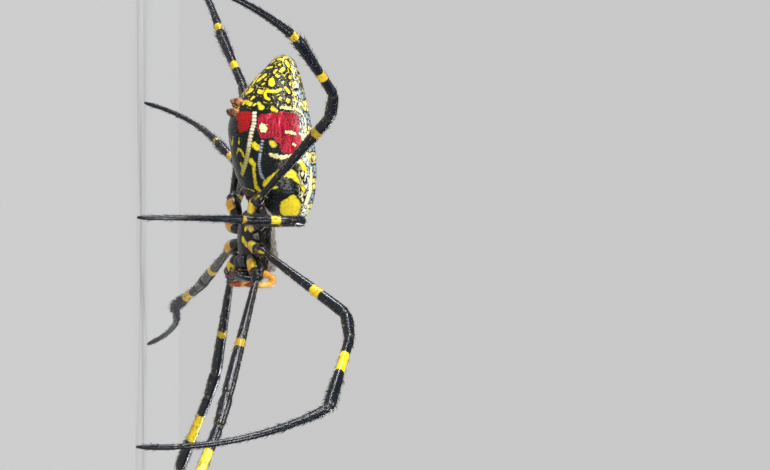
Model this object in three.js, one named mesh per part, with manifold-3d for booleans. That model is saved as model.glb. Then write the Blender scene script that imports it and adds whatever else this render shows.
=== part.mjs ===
// A female golden silk orb weaver, life size, standing on the tips of its eight legs.
// Millimetres, +Z up, the floor at z = 0. The spider faces -Y, so its left side is +X.
// The body leans to its left: the right flank and a little of the underside turn outwards.
import * as THREE from "three";
import { mergeVertices } from "three/addons/utils/BufferGeometryUtils.js";
import Module from "manifold-3d";

const wasm = await Module();
wasm.setup();

// Driving dimensions
const BODY_HEIGHT = 11.4; // floor to the middle of the cephalothorax
const BODY_LEAN = THREE.MathUtils.degToRad(18); // right side up
const BODY_PLACE = { x: -7.26, y: 4.79 }; // middle of the cephalothorax, from the middle of the footprint
const GAP = 0.3; // between the parts of the body where they meet
const FOOT_FLAT = 0.27; // radius of the flat under each claw

const CUTICLE = { color: 0x0d0f14, roughness: 0.3, metalness: 0.0 };
const CARAPACE_HAIR = { color: 0x6f665c, roughness: 0.7, metalness: 0.0 };
const ABDOMEN_YELLOW = { color: 0xd8b018, roughness: 0.35, metalness: 0.0 };
const PALP_ORANGE = { color: 0xd07a14, roughness: 0.4, metalness: 0.0 };

// Cross stations from front to back: top and bottom as [y, z], and half the width.
const ABDOMEN_STATIONS = [
  { top: [1.6, 4.55], bottom: [1.6, 2.9], half: 0.9 },
  { top: [2.0, 5.15], bottom: [2.0, 1.95], half: 1.75 },
  { top: [2.7, 5.7], bottom: [2.7, 1.0], half: 2.6 },
  { top: [3.7, 6.0], bottom: [3.7, -0.45], half: 3.35 },
  { top: [5.7, 6.22], bottom: [5.7, -1.6], half: 4.0 },
  { top: [8.7, 6.12], bottom: [8.7, -2.4], half: 4.3 },
  { top: [11.7, 5.6], bottom: [11.7, -2.5], half: 4.15 },
  { top: [13.7, 5.2], bottom: [13.7, -1.6], half: 3.6 },
  { top: [15.7, 4.73], bottom: [15.7, -0.1], half: 2.65 },
  { top: [17.0, 4.35], bottom: [17.0, 1.2], half: 1.75 },
  { top: [17.8, 3.95], bottom: [17.8, 2.0], half: 1.0 },
];
const ABDOMEN_FRONT = [1.4, 3.7];
const ABDOMEN_REAR = [18.2, 2.95];

const CARAPACE_STATIONS = [
  { top: [-3.55, 1.25], bottom: [-3.45, -0.1], half: 1.55 },
  { top: [-3.05, 1.95], bottom: [-2.95, -0.12], half: 1.8 },
  { top: [-2.1, 2.15], bottom: [-2.0, -0.15], half: 2.0 },
  { top: [-1.1, 1.85], bottom: [-1.1, -0.15], half: 2.5 },
  { top: [0.2, 1.5], bottom: [0.2, -0.15], half: 3.05 },
  { top: [1.5, 1.4], bottom: [1.5, -0.15], half: 3.0 },
  { top: [2.7, 0.85], bottom: [2.7, -0.12], half: 2.3 },
  { top: [3.45, 0.4], bottom: [3.45, -0.1], half: 1.3 },
];
const CARAPACE_FRONT = [-3.7, 0.55];
const CARAPACE_REAR = [3.7, 0.2];

// Four eyes a side, in two rows
const EYES = [
  { x: 0.3, y: -3.58, z: 1.22, radius: 0.24 },
  { x: 0.34, y: -3.22, z: 1.78, radius: 0.24 },
  { x: 1.28, y: -3.36, z: 0.95, radius: 0.2 },
  { x: 1.36, y: -3.12, z: 1.22, radius: 0.2 },
];

// Four coxae a side, from the edge of the sternum outwards. Aim is the angle forward of straight out.
const COXA = { height: -1.15, inner: 1.95, length: 2.5, innerRadius: 0.5, outerRadius: 0.8 };
const COXA_PLACES = [
  { y: -1.95, aim: 40 },
  { y: -0.62, aim: 13 },
  { y: 0.7, aim: -13 },
  { y: 2.02, aim: -40 },
];
const TROCHANTER_LENGTH = 0.7;

// Segment lengths and greatest radii, for the first to the fourth pair.
const LEG_SIZES = [
  { femur: 14.0, patella: 3.5, tibia: 11.2, foot: 20.0, radius: 0.66 },
  { femur: 12.2, patella: 3.3, tibia: 9.4, foot: 18.0, radius: 0.64 },
  { femur: 8.0, patella: 2.4, tibia: 4.6, foot: 10.8, radius: 0.56 },
  { femur: 12.2, patella: 2.8, tibia: 7.6, foot: 16.4, radius: 0.62 },
];

// How each leg stands. Heading is the angle from straight ahead out to its own side.
// The rises are how steeply femur, patella and tibia climb, and the foot comes down to the floor.
const LEG_STANCE = {
  left_1: { heading: 40, femur: -6, patella: -12, tibia: -16 },
  left_2: { heading: 74, femur: -11, patella: -12, tibia: -17 },
  left_3: { heading: 128, femur: 12, patella: -14, tibia: -28 },
  left_4: { heading: 146, femur: 8, patella: -8, tibia: -18 },
  right_1: { heading: 33, femur: -13, patella: -14, tibia: -20 },
  right_2: { heading: 48, femur: 41, patella: 3, tibia: -15 },
  right_3: { heading: 92, femur: 29, patella: -30, tibia: -74 },
  right_4: { heading: 139, femur: 33, patella: 6, tibia: -30 },
};

const rad = THREE.MathUtils.degToRad;
const v3 = (x, y, z) => new THREE.Vector3(x, y, z);
const finish = (look) => new THREE.MeshStandardMaterial(look);

// A closed skin over rings with the same number of points, ending in a point or a flat at each end.
function skinOver(rings, start, end) {
  const sides = rings[0].length;
  const points = [...rings.flat(), start, end];
  const at = (ring, side) => ring * sides + (side % sides);
  const faces = [];
  for (let side = 0; side < sides; side++) {
    for (let ring = 0; ring < rings.length - 1; ring++) {
      faces.push(at(ring, side), at(ring, side + 1), at(ring + 1, side + 1));
      faces.push(at(ring, side), at(ring + 1, side + 1), at(ring + 1, side));
    }
    faces.push(points.length - 2, at(0, side + 1), at(0, side));
    faces.push(points.length - 1, at(rings.length - 1, side), at(rings.length - 1, side + 1));
  }
  const geometry = new THREE.BufferGeometry();
  const positions = points.flatMap((p) => [p.x, p.y, p.z]);
  geometry.setAttribute("position", new THREE.Float32BufferAttribute(positions, 3));
  geometry.setIndex(faces);
  return geometry;
}

// One line of a body through its stations, such as its back or its belly.
function stationLine(stations, pick) {
  const points = stations.map((s) => pick(s));
  return new THREE.CatmullRomCurve3(points, false, "centripetal");
}

// A body lofted front to back over its stations. Flatness under 1 squares the section.
function loftedBody(stations, front, rear, ringCount, sides, flatness = 1) {
  const top = stationLine(stations, (s) => v3(0, s.top[0], s.top[1]));
  const bottom = stationLine(stations, (s) => v3(0, s.bottom[0], s.bottom[1]));
  const halves = stationLine(stations, (s) => v3(s.half, s.top[0], 0));
  const backward = v3(0, ...rear).sub(v3(0, ...front));
  const rings = [];
  for (let i = 0; i < ringCount; i++) {
    const t = i / (ringCount - 1);
    const high = top.getPoint(t);
    const low = bottom.getPoint(t);
    const middle = high.clone().add(low).multiplyScalar(0.5);
    const upward = high.clone().sub(low).multiplyScalar(0.5);
    const half = halves.getPoint(t).x;
    const ring = [];
    for (let side = 0; side < sides; side++) {
      const angle = (side / sides) * 2 * Math.PI;
      const across = Math.sign(Math.cos(angle)) * Math.abs(Math.cos(angle)) ** flatness;
      const along = Math.sign(Math.sin(angle)) * Math.abs(Math.sin(angle)) ** flatness;
      ring.push(middle.clone().addScaledVector(upward, along).add(v3(half * across, 0, 0)));
    }
    const clockwise = v3(1, 0, 0).cross(upward).dot(backward) < 0;
    rings.push(clockwise ? ring.reverse() : ring);
  }
  return skinOver(rings, v3(0, ...front), v3(0, ...rear));
}

// A round limb along points. Its end faces lie square to startFace and endFace.
function limb(points, radii, sides, startFace, endFace) {
  const last = points.length - 1;
  const heading = (i) => {
    const from = points[Math.max(i - 1, 0)];
    const to = points[Math.min(i + 1, last)];
    return to.clone().sub(from).normalize();
  };
  const across = v3(0.31, 0.22, 0.93).cross(heading(0)).normalize();
  const rings = points.map((point, i) => {
    const along = heading(i);
    const side = across.clone().addScaledVector(along, -across.dot(along)).normalize();
    const up = along.clone().cross(side);
    const face = i === 0 ? startFace : i === last ? endFace : null;
    const ring = [];
    for (let k = 0; k < sides; k++) {
      const angle = (k / sides) * 2 * Math.PI;
      const out = side.clone().multiplyScalar(Math.cos(angle) * radii[i]);
      out.addScaledVector(up, Math.sin(angle) * radii[i]);
      if (face) out.addScaledVector(along, -out.dot(face) / along.dot(face));
      ring.push(point.clone().add(out));
    }
    return ring;
  });
  return skinOver(rings, points[0].clone(), points[last].clone());
}

// A geometry as a solid that can be joined and cut. Points closer than WELD become one.
const WELD = 2e-3;
function solidOf(geometry) {
  const bare = new THREE.BufferGeometry();
  bare.setAttribute("position", geometry.getAttribute("position"));
  bare.setIndex(geometry.index);
  const merged = mergeVertices(bare, WELD);
  const vertProperties = new Float32Array(merged.getAttribute("position").array);
  const triVerts = new Uint32Array(merged.index.array);
  return new wasm.Manifold(new wasm.Mesh({ numProp: 3, vertProperties, triVerts }));
}

// The largest closed surface of a solid, as a geometry
function largestPiece(solid) {
  const pieces = solid.decompose().sort((a, b) => b.volume() - a.volume());
  const mesh = pieces[0].getMesh();
  const geometry = new THREE.BufferGeometry();
  const positions = new Float32Array(mesh.vertProperties);
  geometry.setAttribute("position", new THREE.BufferAttribute(positions, mesh.numProp));
  geometry.setIndex(new THREE.BufferAttribute(new Uint32Array(mesh.triVerts), 1));
  return geometry;
}

// Pieces fused into one, less what a cutter takes away
function fused(geometries, cutter) {
  const solids = geometries.map(solidOf);
  let whole = solids.slice(1).reduce((sum, solid) => sum.add(solid), solids[0]);
  if (cutter) whole = whole.subtract(solidOf(cutter));
  return largestPiece(solidOf(largestPiece(whole)));
}

const ball = (x, y, z, radius, stretch = [1, 1, 1], across = 12, down = 8) =>
  new THREE.SphereGeometry(radius, across, down).scale(...stretch).translate(x, y, z);

const root = new THREE.Group();
const body = new THREE.Group();
body.position.set(BODY_PLACE.x, BODY_PLACE.y, BODY_HEIGHT);
body.rotation.y = BODY_LEAN;
root.add(body);
root.updateMatrixWorld(true);

function addPart(parent, name, geometry, look) {
  const mesh = new THREE.Mesh(geometry, finish(look));
  mesh.name = name;
  parent.add(mesh);
}

// Cephalothorax: carapace, sternum, mouth plates, pedicel and eight eyes in one piece
function cephalothorax() {
  const clearance = ABDOMEN_STATIONS.map(({ top, bottom, half }) => ({
    top: [top[0], top[1] + GAP],
    bottom: [bottom[0], bottom[1] - GAP],
    half: half + GAP,
  }));
  const clearFront = [ABDOMEN_FRONT[0] - GAP, ABDOMEN_FRONT[1]];
  const abdomenRoom = loftedBody(clearance, clearFront, ABDOMEN_REAR, 20, 24);
  const pieces = [
    loftedBody(CARAPACE_STATIONS, CARAPACE_FRONT, CARAPACE_REAR, 20, 28, 0.9),
    ball(0, -0.1, -0.75, 1, [1.7, 2.85, 1.05], 20, 12), // sternum
    ball(0, 3.6, -0.2, 1, [0.7, 1.5, 0.55], 12, 8), // pedicel
  ];
  for (const side of [-1, 1]) {
    pieces.push(ball(side * 0.62, -2.5, -1.0, 0.62, [0.9, 1.15, 1.15], 10, 8)); // mouth plate
    for (const eye of EYES) {
      pieces.push(ball(side * eye.x, eye.y, eye.z, eye.radius, [1, 1, 1], 8, 6));
    }
  }
  return fused(pieces, abdomenRoom);
}
addPart(body, "cephalothorax", cephalothorax(), CARAPACE_HAIR);

// Abdomen with its spinnerets: a front and a rear pair, pointing down and a little back
const SPINNERET_LEAN = rad(25);
const SPINNERETS = [
  { x: 0.62, y: 12.35, z: -2.3, length: 1.9, radius: 0.52 },
  { x: 0.55, y: 13.4, z: -2.0, length: 1.8, radius: 0.44 },
];
function abdomen() {
  const pieces = [loftedBody(ABDOMEN_STATIONS, ABDOMEN_FRONT, ABDOMEN_REAR, 26, 36)];
  for (const { x, y, z, length, radius } of SPINNERETS) {
    for (const side of [-1, 1]) {
      const cone = new THREE.CylinderGeometry(radius, radius * 0.5, length, 10, 2);
      cone.rotateX(Math.PI / 2 + SPINNERET_LEAN).translate(side * x, y, z);
      pieces.push(cone);
    }
  }
  return fused(pieces);
}
addPart(body, "abdomen", abdomen(), ABDOMEN_YELLOW);

// Chelicerae with their fangs folded inwards
const CHELICERA_STATIONS = [
  { top: [-4.25, 0.35], bottom: [-3.8, 0.35], half: 0.5 },
  { top: [-4.5, -0.3], bottom: [-3.45, -0.15], half: 0.72 },
  { top: [-4.45, -1.2], bottom: [-3.35, -1.1], half: 0.76 },
  { top: [-4.25, -2.0], bottom: [-3.35, -2.0], half: 0.66 },
  { top: [-3.98, -2.55], bottom: [-3.4, -2.5], half: 0.4 },
];
function chelicera(side) {
  const jaw = loftedBody(CHELICERA_STATIONS, [-4.1, 0.5], [-3.7, -2.7], 10, 14);
  const fangPoints = [
    v3(0.1, -3.75, -2.45),
    v3(0, -3.5, -2.75),
    v3(-0.15, -3.2, -2.85),
    v3(-0.35, -2.95, -2.8),
  ];
  const fang = limb(fangPoints, [0.26, 0.24, 0.17, 0.08], 8);
  const geometry = fused([jaw, fang]);
  geometry.translate(0.93, 0, 0);
  if (side < 0) mirror(geometry);
  return geometry;
}

// Turns a left piece into the right one, faces still pointing out.
function mirror(geometry) {
  geometry.scale(-1, 1, 1);
  const faces = geometry.index.array;
  for (let i = 0; i < faces.length; i += 3) {
    [faces[i + 1], faces[i + 2]] = [faces[i + 2], faces[i + 1]];
  }
}

// Palps: thigh, knee and shin in one bent limb
const PALP_POINTS = [
  [1.72, -3.1, -0.9],
  [2.3, -3.55, -0.2],
  [2.7, -3.8, 0.4],
  [2.95, -4.25, 0.8],
  [2.8, -4.7, 0.4],
  [2.5, -4.7, -0.8],
  [2.15, -4.75, -1.95],
];
const PALP_RADII = [0.32, 0.31, 0.3, 0.28, 0.29, 0.3, 0.16];
function palp(side) {
  const points = PALP_POINTS.map(([x, y, z]) => v3(x, y, z));
  const line = new THREE.CatmullRomCurve3(points, false, "centripetal");
  const steps = 14;
  const along = Array.from({ length: steps + 1 }, (_, i) => line.getPoint(i / steps));
  const radii = along.map((_, i) => {
    const place = (i / steps) * (PALP_RADII.length - 1);
    const low = Math.min(Math.floor(place), PALP_RADII.length - 2);
    return THREE.MathUtils.lerp(PALP_RADII[low], PALP_RADII[low + 1], place - low);
  });
  const geometry = limb(along, radii, 10);
  if (side < 0) mirror(geometry);
  return geometry;
}

for (const [name, side] of [["left", 1], ["right", -1]]) {
  addPart(body, "chelicera_" + name, chelicera(side), CUTICLE);
  addPart(body, "palp_" + name, palp(side), PALP_ORANGE);
}

// Shapes along each segment: share of its length, then radius as a share of the greatest
const FEMUR_SHAPE = [[0, 0.7], [0.06, 0.82], [0.2, 0.95], [0.45, 0.88], [0.75, 0.8], [0.92, 0.92], [1, 0.9]];
const PATELLA_SHAPE = [[0, 0.9], [0.3, 0.98], [0.75, 0.86]];
const TIBIA_SHAPE = [[0.12, 0.74], [0.4, 0.7], [0.7, 0.84], [0.92, 0.9], [1, 0.78]];
const FOOT_SHAPE = [
  [0, 0.72], [0.05, 0.72], [0.15, 0.58], [0.3, 0.5], [0.45, 0.46],
  [0.6, 0.44], [0.72, 0.43], [0.82, 0.44], [0.92, 0.46], [1, 0.42],
];

// The joints of one leg, from the end of its coxa to the floor, in the world's frame.
function legJoints(side, pair, stance) {
  const place = COXA_PLACES[pair];
  const aim = rad(place.aim);
  const outward = v3(side * Math.cos(aim), -Math.sin(aim), 0);
  const inner = v3(side * COXA.inner, place.y, COXA.height);
  const outer = inner.clone().addScaledVector(outward, COXA.length);
  const hip = body.localToWorld(outer.clone());
  const turn = rad(stance.heading);
  const level = v3(side * Math.sin(turn), -Math.cos(turn), 0);
  const step = (from, length, rise) =>
    from
      .clone()
      .addScaledVector(level, length * Math.cos(rad(rise)))
      .add(v3(0, 0, length * Math.sin(rad(rise))));
  const sizes = LEG_SIZES[pair];
  const knee = step(hip, sizes.femur, stance.femur);
  const shin = step(knee, sizes.patella, stance.patella);
  const ankle = step(shin, sizes.tibia, stance.tibia);
  const reach = Math.sqrt(sizes.foot ** 2 - ankle.z ** 2);
  const toe = v3(ankle.x, ankle.y, 0).addScaledVector(level, reach);
  return { inner, outer, outward, hip, knee, shin, ankle, toe, level };
}

const square = (a, b, c) =>
  b.clone().sub(a).normalize().add(c.clone().sub(b).normalize()).normalize();

function coxa(joints) {
  const length = COXA.length - GAP / 2;
  const shape = [[0, 0.62], [0.12, 0.86], [0.4, 1], [0.75, 1], [0.95, 0.9], [1, 0.78]];
  const points = shape.map(([share]) =>
    joints.inner.clone().addScaledVector(joints.outward, share * length)
  );
  const radii = shape.map(([share, scale]) =>
    scale * THREE.MathUtils.lerp(COXA.innerRadius, COXA.outerRadius, share)
  );
  return limb(points, radii, 12, joints.outward, joints.outward);
}

// The femur, with the short trochanter that carries it
function femur(joints, radius) {
  const hipFace = joints.outward.clone().transformDirection(body.matrixWorld);
  const along = joints.knee.clone().sub(joints.hip).normalize();
  const start = joints.hip.clone().addScaledVector(hipFace, GAP / 2);
  const bend = joints.hip.clone().addScaledVector(hipFace, TROCHANTER_LENGTH * 0.5);
  const kneeFace = square(joints.hip, joints.knee, joints.shin);
  const end = joints.knee.clone().addScaledVector(along, -GAP / 2 / along.dot(kneeFace));
  const from = bend.clone().addScaledVector(along, TROCHANTER_LENGTH * 0.7);
  const points = [start, bend, ...FEMUR_SHAPE.map(([share]) => from.clone().lerp(end, share))];
  const radii = [0.62, 0.72, ...FEMUR_SHAPE.map(([, scale]) => scale * radius)];
  return limb(points, radii, 10, hipFace, kneeFace);
}

// Patella and tibia in one, bent where they meet
function tibia(joints, radius) {
  const kneeFace = square(joints.hip, joints.knee, joints.shin);
  const ankleFace = square(joints.shin, joints.ankle, footPoint(joints, 0.1));
  const out = joints.shin.clone().sub(joints.knee).normalize();
  const along = joints.ankle.clone().sub(joints.shin).normalize();
  const start = joints.knee.clone().addScaledVector(out, GAP / 2 / out.dot(kneeFace));
  const end = joints.ankle.clone().addScaledVector(along, -GAP / 2 / along.dot(ankleFace));
  const points = [
    ...PATELLA_SHAPE.map(([share]) => start.clone().lerp(joints.shin, share)),
    ...TIBIA_SHAPE.map(([share]) => joints.shin.clone().lerp(end, share)),
  ];
  const radii = [...PATELLA_SHAPE, ...TIBIA_SHAPE].map(([, scale]) => scale * radius);
  return limb(points, radii, 10, kneeFace, ankleFace);
}

// A point along the foot, which bows outwards between the ankle and the floor
const FOOT_BOW = 0.085;
function footPoint(joints, share) {
  const chord = joints.toe.clone().sub(joints.ankle);
  const side = joints.level.clone().cross(chord).normalize();
  const outward = chord.clone().cross(side).normalize();
  const bow = 4 * share * (1 - share) * FOOT_BOW * chord.length();
  return joints.ankle.clone().addScaledVector(chord, share).addScaledVector(outward, bow);
}

// Metatarsus and tarsus in one, ending in a small flat on the floor
function foot(joints, radius) {
  const ankleFace = square(joints.shin, joints.ankle, footPoint(joints, 0.1));
  const along = footPoint(joints, 0.1).sub(joints.ankle).normalize();
  const start = joints.ankle.clone().addScaledVector(along, GAP / 2 / along.dot(ankleFace));
  const points = FOOT_SHAPE.map(([share], i) => (i === 0 ? start : footPoint(joints, share)));
  const radii = FOOT_SHAPE.map(([, scale]) => Math.max(scale * radius, FOOT_FLAT * 0.9));
  return limb(points, radii, 10, ankleFace, v3(0, 0, -1));
}

for (const [name, stance] of Object.entries(LEG_STANCE)) {
  const [sideName, number] = name.split("_");
  const side = sideName === "left" ? 1 : -1;
  const pair = Number(number) - 1;
  const joints = legJoints(side, pair, stance);
  const radius = LEG_SIZES[pair].radius;
  addPart(body, "leg_" + name + "_coxa", coxa(joints), CUTICLE);
  addPart(root, "leg_" + name + "_femur", femur(joints, radius), CUTICLE);
  addPart(root, "leg_" + name + "_tibia", tibia(joints, radius), CUTICLE);
  addPart(root, "leg_" + name + "_foot", foot(joints, radius), CUTICLE);
}

export default root;
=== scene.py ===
"""A golden silk orb weaver, life size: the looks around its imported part.

The frame is in metres and faces -Y. Sizes of the animal are written in millimetres,
most of them in the body's own frame, and BODY_FRAME turns those into the row's frame.
"""

import math

import bpy
import numpy as np
from mathutils import Matrix, Vector
from mathutils.bvhtree import BVHTree


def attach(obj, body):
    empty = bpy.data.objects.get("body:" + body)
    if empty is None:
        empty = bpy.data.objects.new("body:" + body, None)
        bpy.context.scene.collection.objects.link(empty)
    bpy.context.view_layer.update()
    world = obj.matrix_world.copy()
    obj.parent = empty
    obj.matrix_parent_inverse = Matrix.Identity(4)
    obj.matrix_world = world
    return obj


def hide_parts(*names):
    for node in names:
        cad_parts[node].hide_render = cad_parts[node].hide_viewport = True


bl_info = {
    "name": "Silk Orb Weaver",
    "version": (1, 0, 0),
    "blender": (4, 5, 0),
    "location": "View3D > Sidebar > Orb Weaver",
    "description": "Dresses the packed orb weaver: skins, markings, eyes, jaws and bristles",
    "category": "Object",
}

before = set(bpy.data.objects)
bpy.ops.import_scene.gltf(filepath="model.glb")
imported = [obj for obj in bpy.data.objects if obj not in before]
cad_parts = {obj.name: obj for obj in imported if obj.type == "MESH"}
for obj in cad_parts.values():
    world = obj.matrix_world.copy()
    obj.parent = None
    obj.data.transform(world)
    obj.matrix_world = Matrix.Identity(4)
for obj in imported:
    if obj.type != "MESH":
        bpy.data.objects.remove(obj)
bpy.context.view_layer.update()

MM = 0.001
SEED = 7
FAR = 9.0  # millimetres, farther than any mark reaches
SIDES = (("left", 1), ("right", -1))

# Studio lights, as far off as suns, so that the floor is evenly lit: the way they come from,
# power, width in degrees, colour. The first four draw long lines of shine along the legs.
STUDIO_LIGHTS = [
    ((0.17, 0.98, 0.08), 1.5, 11, (0.86, 0.93, 1.0)),
    ((-0.42, 0.9, 0.1), 1.5, 11, (0.92, 0.95, 1.0)),
    ((0.59, -0.58, 0.56), 1.0, 11, (0.86, 0.93, 1.0)),
    ((-0.49, 0.72, 0.43), 1.8, 12, (1.0, 0.98, 0.94)),
    ((-0.1, 0.2, 0.97), 1.2, 20, (0.92, 0.96, 1.0)),
    ((-0.8, -0.3, 0.3), 2.3, 25, (1.0, 0.98, 0.95)),
]
SKY_COLOUR, SKY_STRENGTH = (0.82, 0.9, 1.0), 0.2
BACKDROP_COLOUR = (0.578, 0.58, 0.578)
PAPER_COLOUR = (0.5, 0.485, 0.475)
FLOOR_SIZE = 8.0  # metres
VIEW_AIM = Vector((0, 0.2, 13)) * MM  # from the body's place to the middle of the picture

# The body's frame: the middle of the cephalothorax, leaning with the right side up
BODY_PLACE = Vector((-7.26, 4.79, 11.4)) * MM
BODY_LEAN = math.radians(18)
BODY_FRAME = (
    Matrix.Translation(BODY_PLACE) @ Matrix.Rotation(BODY_LEAN, 4, "Y") @ Matrix.Scale(MM, 4)
)

# Stations of the abdomen: place along the body, top, bottom, half the width
ABDOMEN_STATIONS = [
    (1.4, 3.8, 3.6, 0.1),
    (1.45, 4.2, 3.25, 0.5),
    (1.6, 4.6, 2.8, 0.95),
    (2.0, 5.15, 1.95, 1.75),
    (2.7, 5.7, 1.0, 2.6),
    (3.7, 6.0, -0.45, 3.35),
    (5.7, 6.22, -1.6, 4.0),
    (8.7, 6.12, -2.4, 4.3),
    (11.7, 5.6, -2.5, 4.15),
    (13.7, 5.2, -1.6, 3.6),
    (15.7, 4.73, -0.1, 2.65),
    (17.0, 4.35, 1.2, 1.75),
    (17.8, 3.95, 2.0, 1.0),
    (18.1, 3.5, 2.45, 0.55),
    (18.2, 3.05, 2.85, 0.1),
]
ABDOMEN_MIDDLE = (0, 10, 2)
ABDOMEN_SIDES = 128
ABDOMEN_RINGS = 110

# Edges and faces are sorted by their distance from each of these places in turn. They lie off
# the plane of symmetry, so that edges on either side of it are never equally far away.
SORTING_PLACES = [(23.1, -17.7, 9.3), (-11.9, 31.3, 26.7), (15.7, 12.1, -28.9)]

# The photograph's frame, in pixels
PHOTO_WIDTH, PHOTO_HEIGHT = 770, 470

# Markings of the right flank, repeated on the left. Each is a stroke through
# (pixel across the photograph, pixel down it, half the width in millimetres).
MARKS = {
    "red": [
        [(238, 115, 0.4), (245, 118, 0.75), (243, 125, 0.7), (241, 130, 0.35)],
        [(249, 114, 0.3), (251, 120, 0.2)],
        [(261.5, 118, 0.3), (263, 126.5, 0.56), (264, 134, 0.42), (270, 132.5, 0.5)],
        [(262, 116, 0.25), (270, 118, 0.45), (278, 117, 0.55), (287, 119, 0.75), (295, 120, 0.7)],
        [(273, 126, 0.5), (282, 128, 0.8), (294, 130, 0.8)],
        [(279, 137, 0.6), (289, 138, 0.9), (298, 139, 0.6)],
        [(286, 147, 0.6), (296, 148, 0.65), (301, 150, 0.3)],
    ],
    "yellow": [
        [(254, 144.5, 0.28), (257, 147.5, 0.33)],
        [(251, 161, 0.3), (254, 165, 0.22), (254, 172, 0.18), (255, 180, 0.2), (256, 187, 0.26),
         (260, 191, 0.22), (263, 193, 0.1)],
        [(236.5, 155, 0.09), (238.5, 149, 0.14), (240.5, 150, 0.14), (244.5, 157, 0.13)],
        [(229.5, 137, 0.08), (231.5, 144, 0.16)],
        [(239, 138, 0.06), (239, 143, 0.14)],
        [(240.5, 163, 0.09), (242.5, 169, 0.18), (242, 176, 0.1)],
        [(230.5, 163, 0.05), (232.5, 170, 0.1)],
        [(272, 142.5, 0.28), (273.5, 145, 0.3)],
        [(266, 184, 0.4), (271, 181, 0.5), (276, 176, 0.35), (281, 173, 0.42), (287, 172, 0.48),
         (293, 175, 0.4), (298.5, 182, 0.15)],
        [(271, 186, 0.3), (277, 187.5, 0.12)],
        [(301, 186, 0.12), (304, 190, 0.22)],
        [(292.5, 199, 0.45), (290.5, 206, 1.05), (290, 212, 1.0)],
        [(273, 109, 0.24), (276, 110.5, 0.2)],
        [(246, 101.5, 0.2), (250.5, 104, 0.24)],
        [(258, 103, 0.18), (261.5, 107.5, 0.3)],
        [(300, 161, 0.28), (304, 167, 0.33), (306, 171.5, 0.2)],
        [(258, 190, 0.08), (268, 198, 0.05)],
        [(242.6, 186.6, 0.04), (248, 189, 0.06), (254, 191, 0.09)],
    ],
    "cream": [
        [(263, 127.3, 0.42), (263.4, 128.5, 0.42)],
        [(285, 132, 0.14), (290, 132.4, 0.2), (295.5, 133.5, 0.16)],
        [(294, 144, 0.14), (295, 145.5, 0.17)],
        [(281, 107.5, 0.14), (287, 108.2, 0.2), (297, 109.5, 0.16), (302, 113, 0.15),
         (305, 119, 0.18), (306, 126, 0.14)],
        [(299, 133, 0.12), (303, 135.5, 0.25), (302.5, 139, 0.16), (306, 142, 0.26),
         (304, 147, 0.16), (306, 151, 0.3), (308, 157, 0.2)],
        [(270, 154.5, 0.16), (275, 156, 0.28), (283, 157.6, 0.22), (290, 156, 0.19),
         (296, 157.5, 0.25), (300, 161, 0.26)],
        [(311, 168, 0.2), (311, 180, 0.32), (310, 192, 0.4), (306, 203, 0.3)],
        [(278, 102, 0.07), (287, 99, 0.1), (297, 101, 0.12), (303, 105, 0.16)],
    ],
    "spots": [
        [(251.4, 77, 0.1), (256.2, 73, 0.15)],
        [(258, 80.8, 0.15), (264.7, 75.3, 0.19)],
        [(271.4, 80, 0.22), (272, 84, 0.26)],
        [(279, 59.3, 0.15), (282, 59.3, 0.15)],
        [(246.8, 93, 0.17), (251.4, 90, 0.22)],
        [(259.2, 91.3, 0.2), (260.6, 92, 0.2)],
        [(246.8, 83, 0.1), (250.4, 81, 0.13)],
        [(238.6, 90.5, 0.06), (242.3, 86, 0.09)],
        [(267, 68, 0.08), (271.7, 67.2, 0.11)],
        [(281, 71, 0.17), (283, 69, 0.17)],
        [(274, 72, 0.11), (276.2, 70.2, 0.11)],
        [(276.8, 75.3, 0.12), (278.6, 76.3, 0.12)],
        [(286, 61, 0.1), (288.3, 65.6, 0.11)],
        [(291.4, 69, 0.09), (294, 73, 0.09)],
        [(295.6, 82.6, 0.12), (297.4, 86, 0.12)],
        [(268.3, 58.3, 0.07), (272, 57, 0.07)],
        [(266.5, 90.5, 0.09), (264.9, 93.5, 0.1), (265.7, 97.7, 0.1), (268.9, 99.5, 0.08)],
        [(268, 91, 0.1), (275.6, 91.7, 0.14), (280.5, 89.5, 0.1)],
        [(286, 88, 0.12), (289, 92, 0.14)],
    ],
}

# Rows of beads: the pixels they run through, how many, half of one's width in millimetres. The
# glint row is a painted highlight: silvery glints painted along a ridge of the flank.
BEADS = {
    "bead": ([(254.4, 113), (254, 123), (251.4, 132), (249.5, 142), (248.3, 150),
              (246.8, 158), (244.7, 166), (242.3, 173.5)], 21, 0.14),
    "glint": ([(262.3, 141), (260, 154), (259, 164), (260.5, 173.5), (263, 178.5)], 17, 0.09),
}
BEAD_WIDTH = {"bead": 1.1, "glint": 0.8}  # pixels to each side

# Drawn spots of the tail: where they start behind the abdomen's front, how many at most, the
# room that one needs at the tip and for each millimetre before it, half its width, its length
TAIL_START = 11.3
TAIL_SPOTS = 120
SPOT_ROOM, SPOT_ROOM_AHEAD = 0.42, 0.06
SPOT_HALVES, SPOT_LENGTHS = (0.08, 0.17), (0.04, 0.3)
SPOT_WAY = np.array((-0.5, 0.75, 0.4))

# The back's look: degrees round from the belly line where it starts and where the mottling is
# thickest, and the length of one pair of its cross bands in millimetres
BACK_START, BORDER, BAND_PITCH = 119, 114, 2.6

# Coxae: height, place of the root beside the middle, length, and each pair's place and
# heading in degrees
COXA_HEIGHT, COXA_INNER, COXA_LENGTH = -1.15, 1.95, 2.5
COXA_PLACES = [(-1.95, 40), (-0.62, 13), (0.7, -13), (2.02, -40)]

# Lengths of femur, patella, tibia and foot, and the leg's radius, pair by pair
LEG_SIZES = [
    (14.0, 3.5, 11.2, 20.0, 0.66),
    (12.2, 3.3, 9.4, 18.0, 0.64),
    (8.0, 2.4, 4.6, 10.8, 0.56),
    (12.2, 2.8, 7.6, 16.4, 0.62),
]

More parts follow.
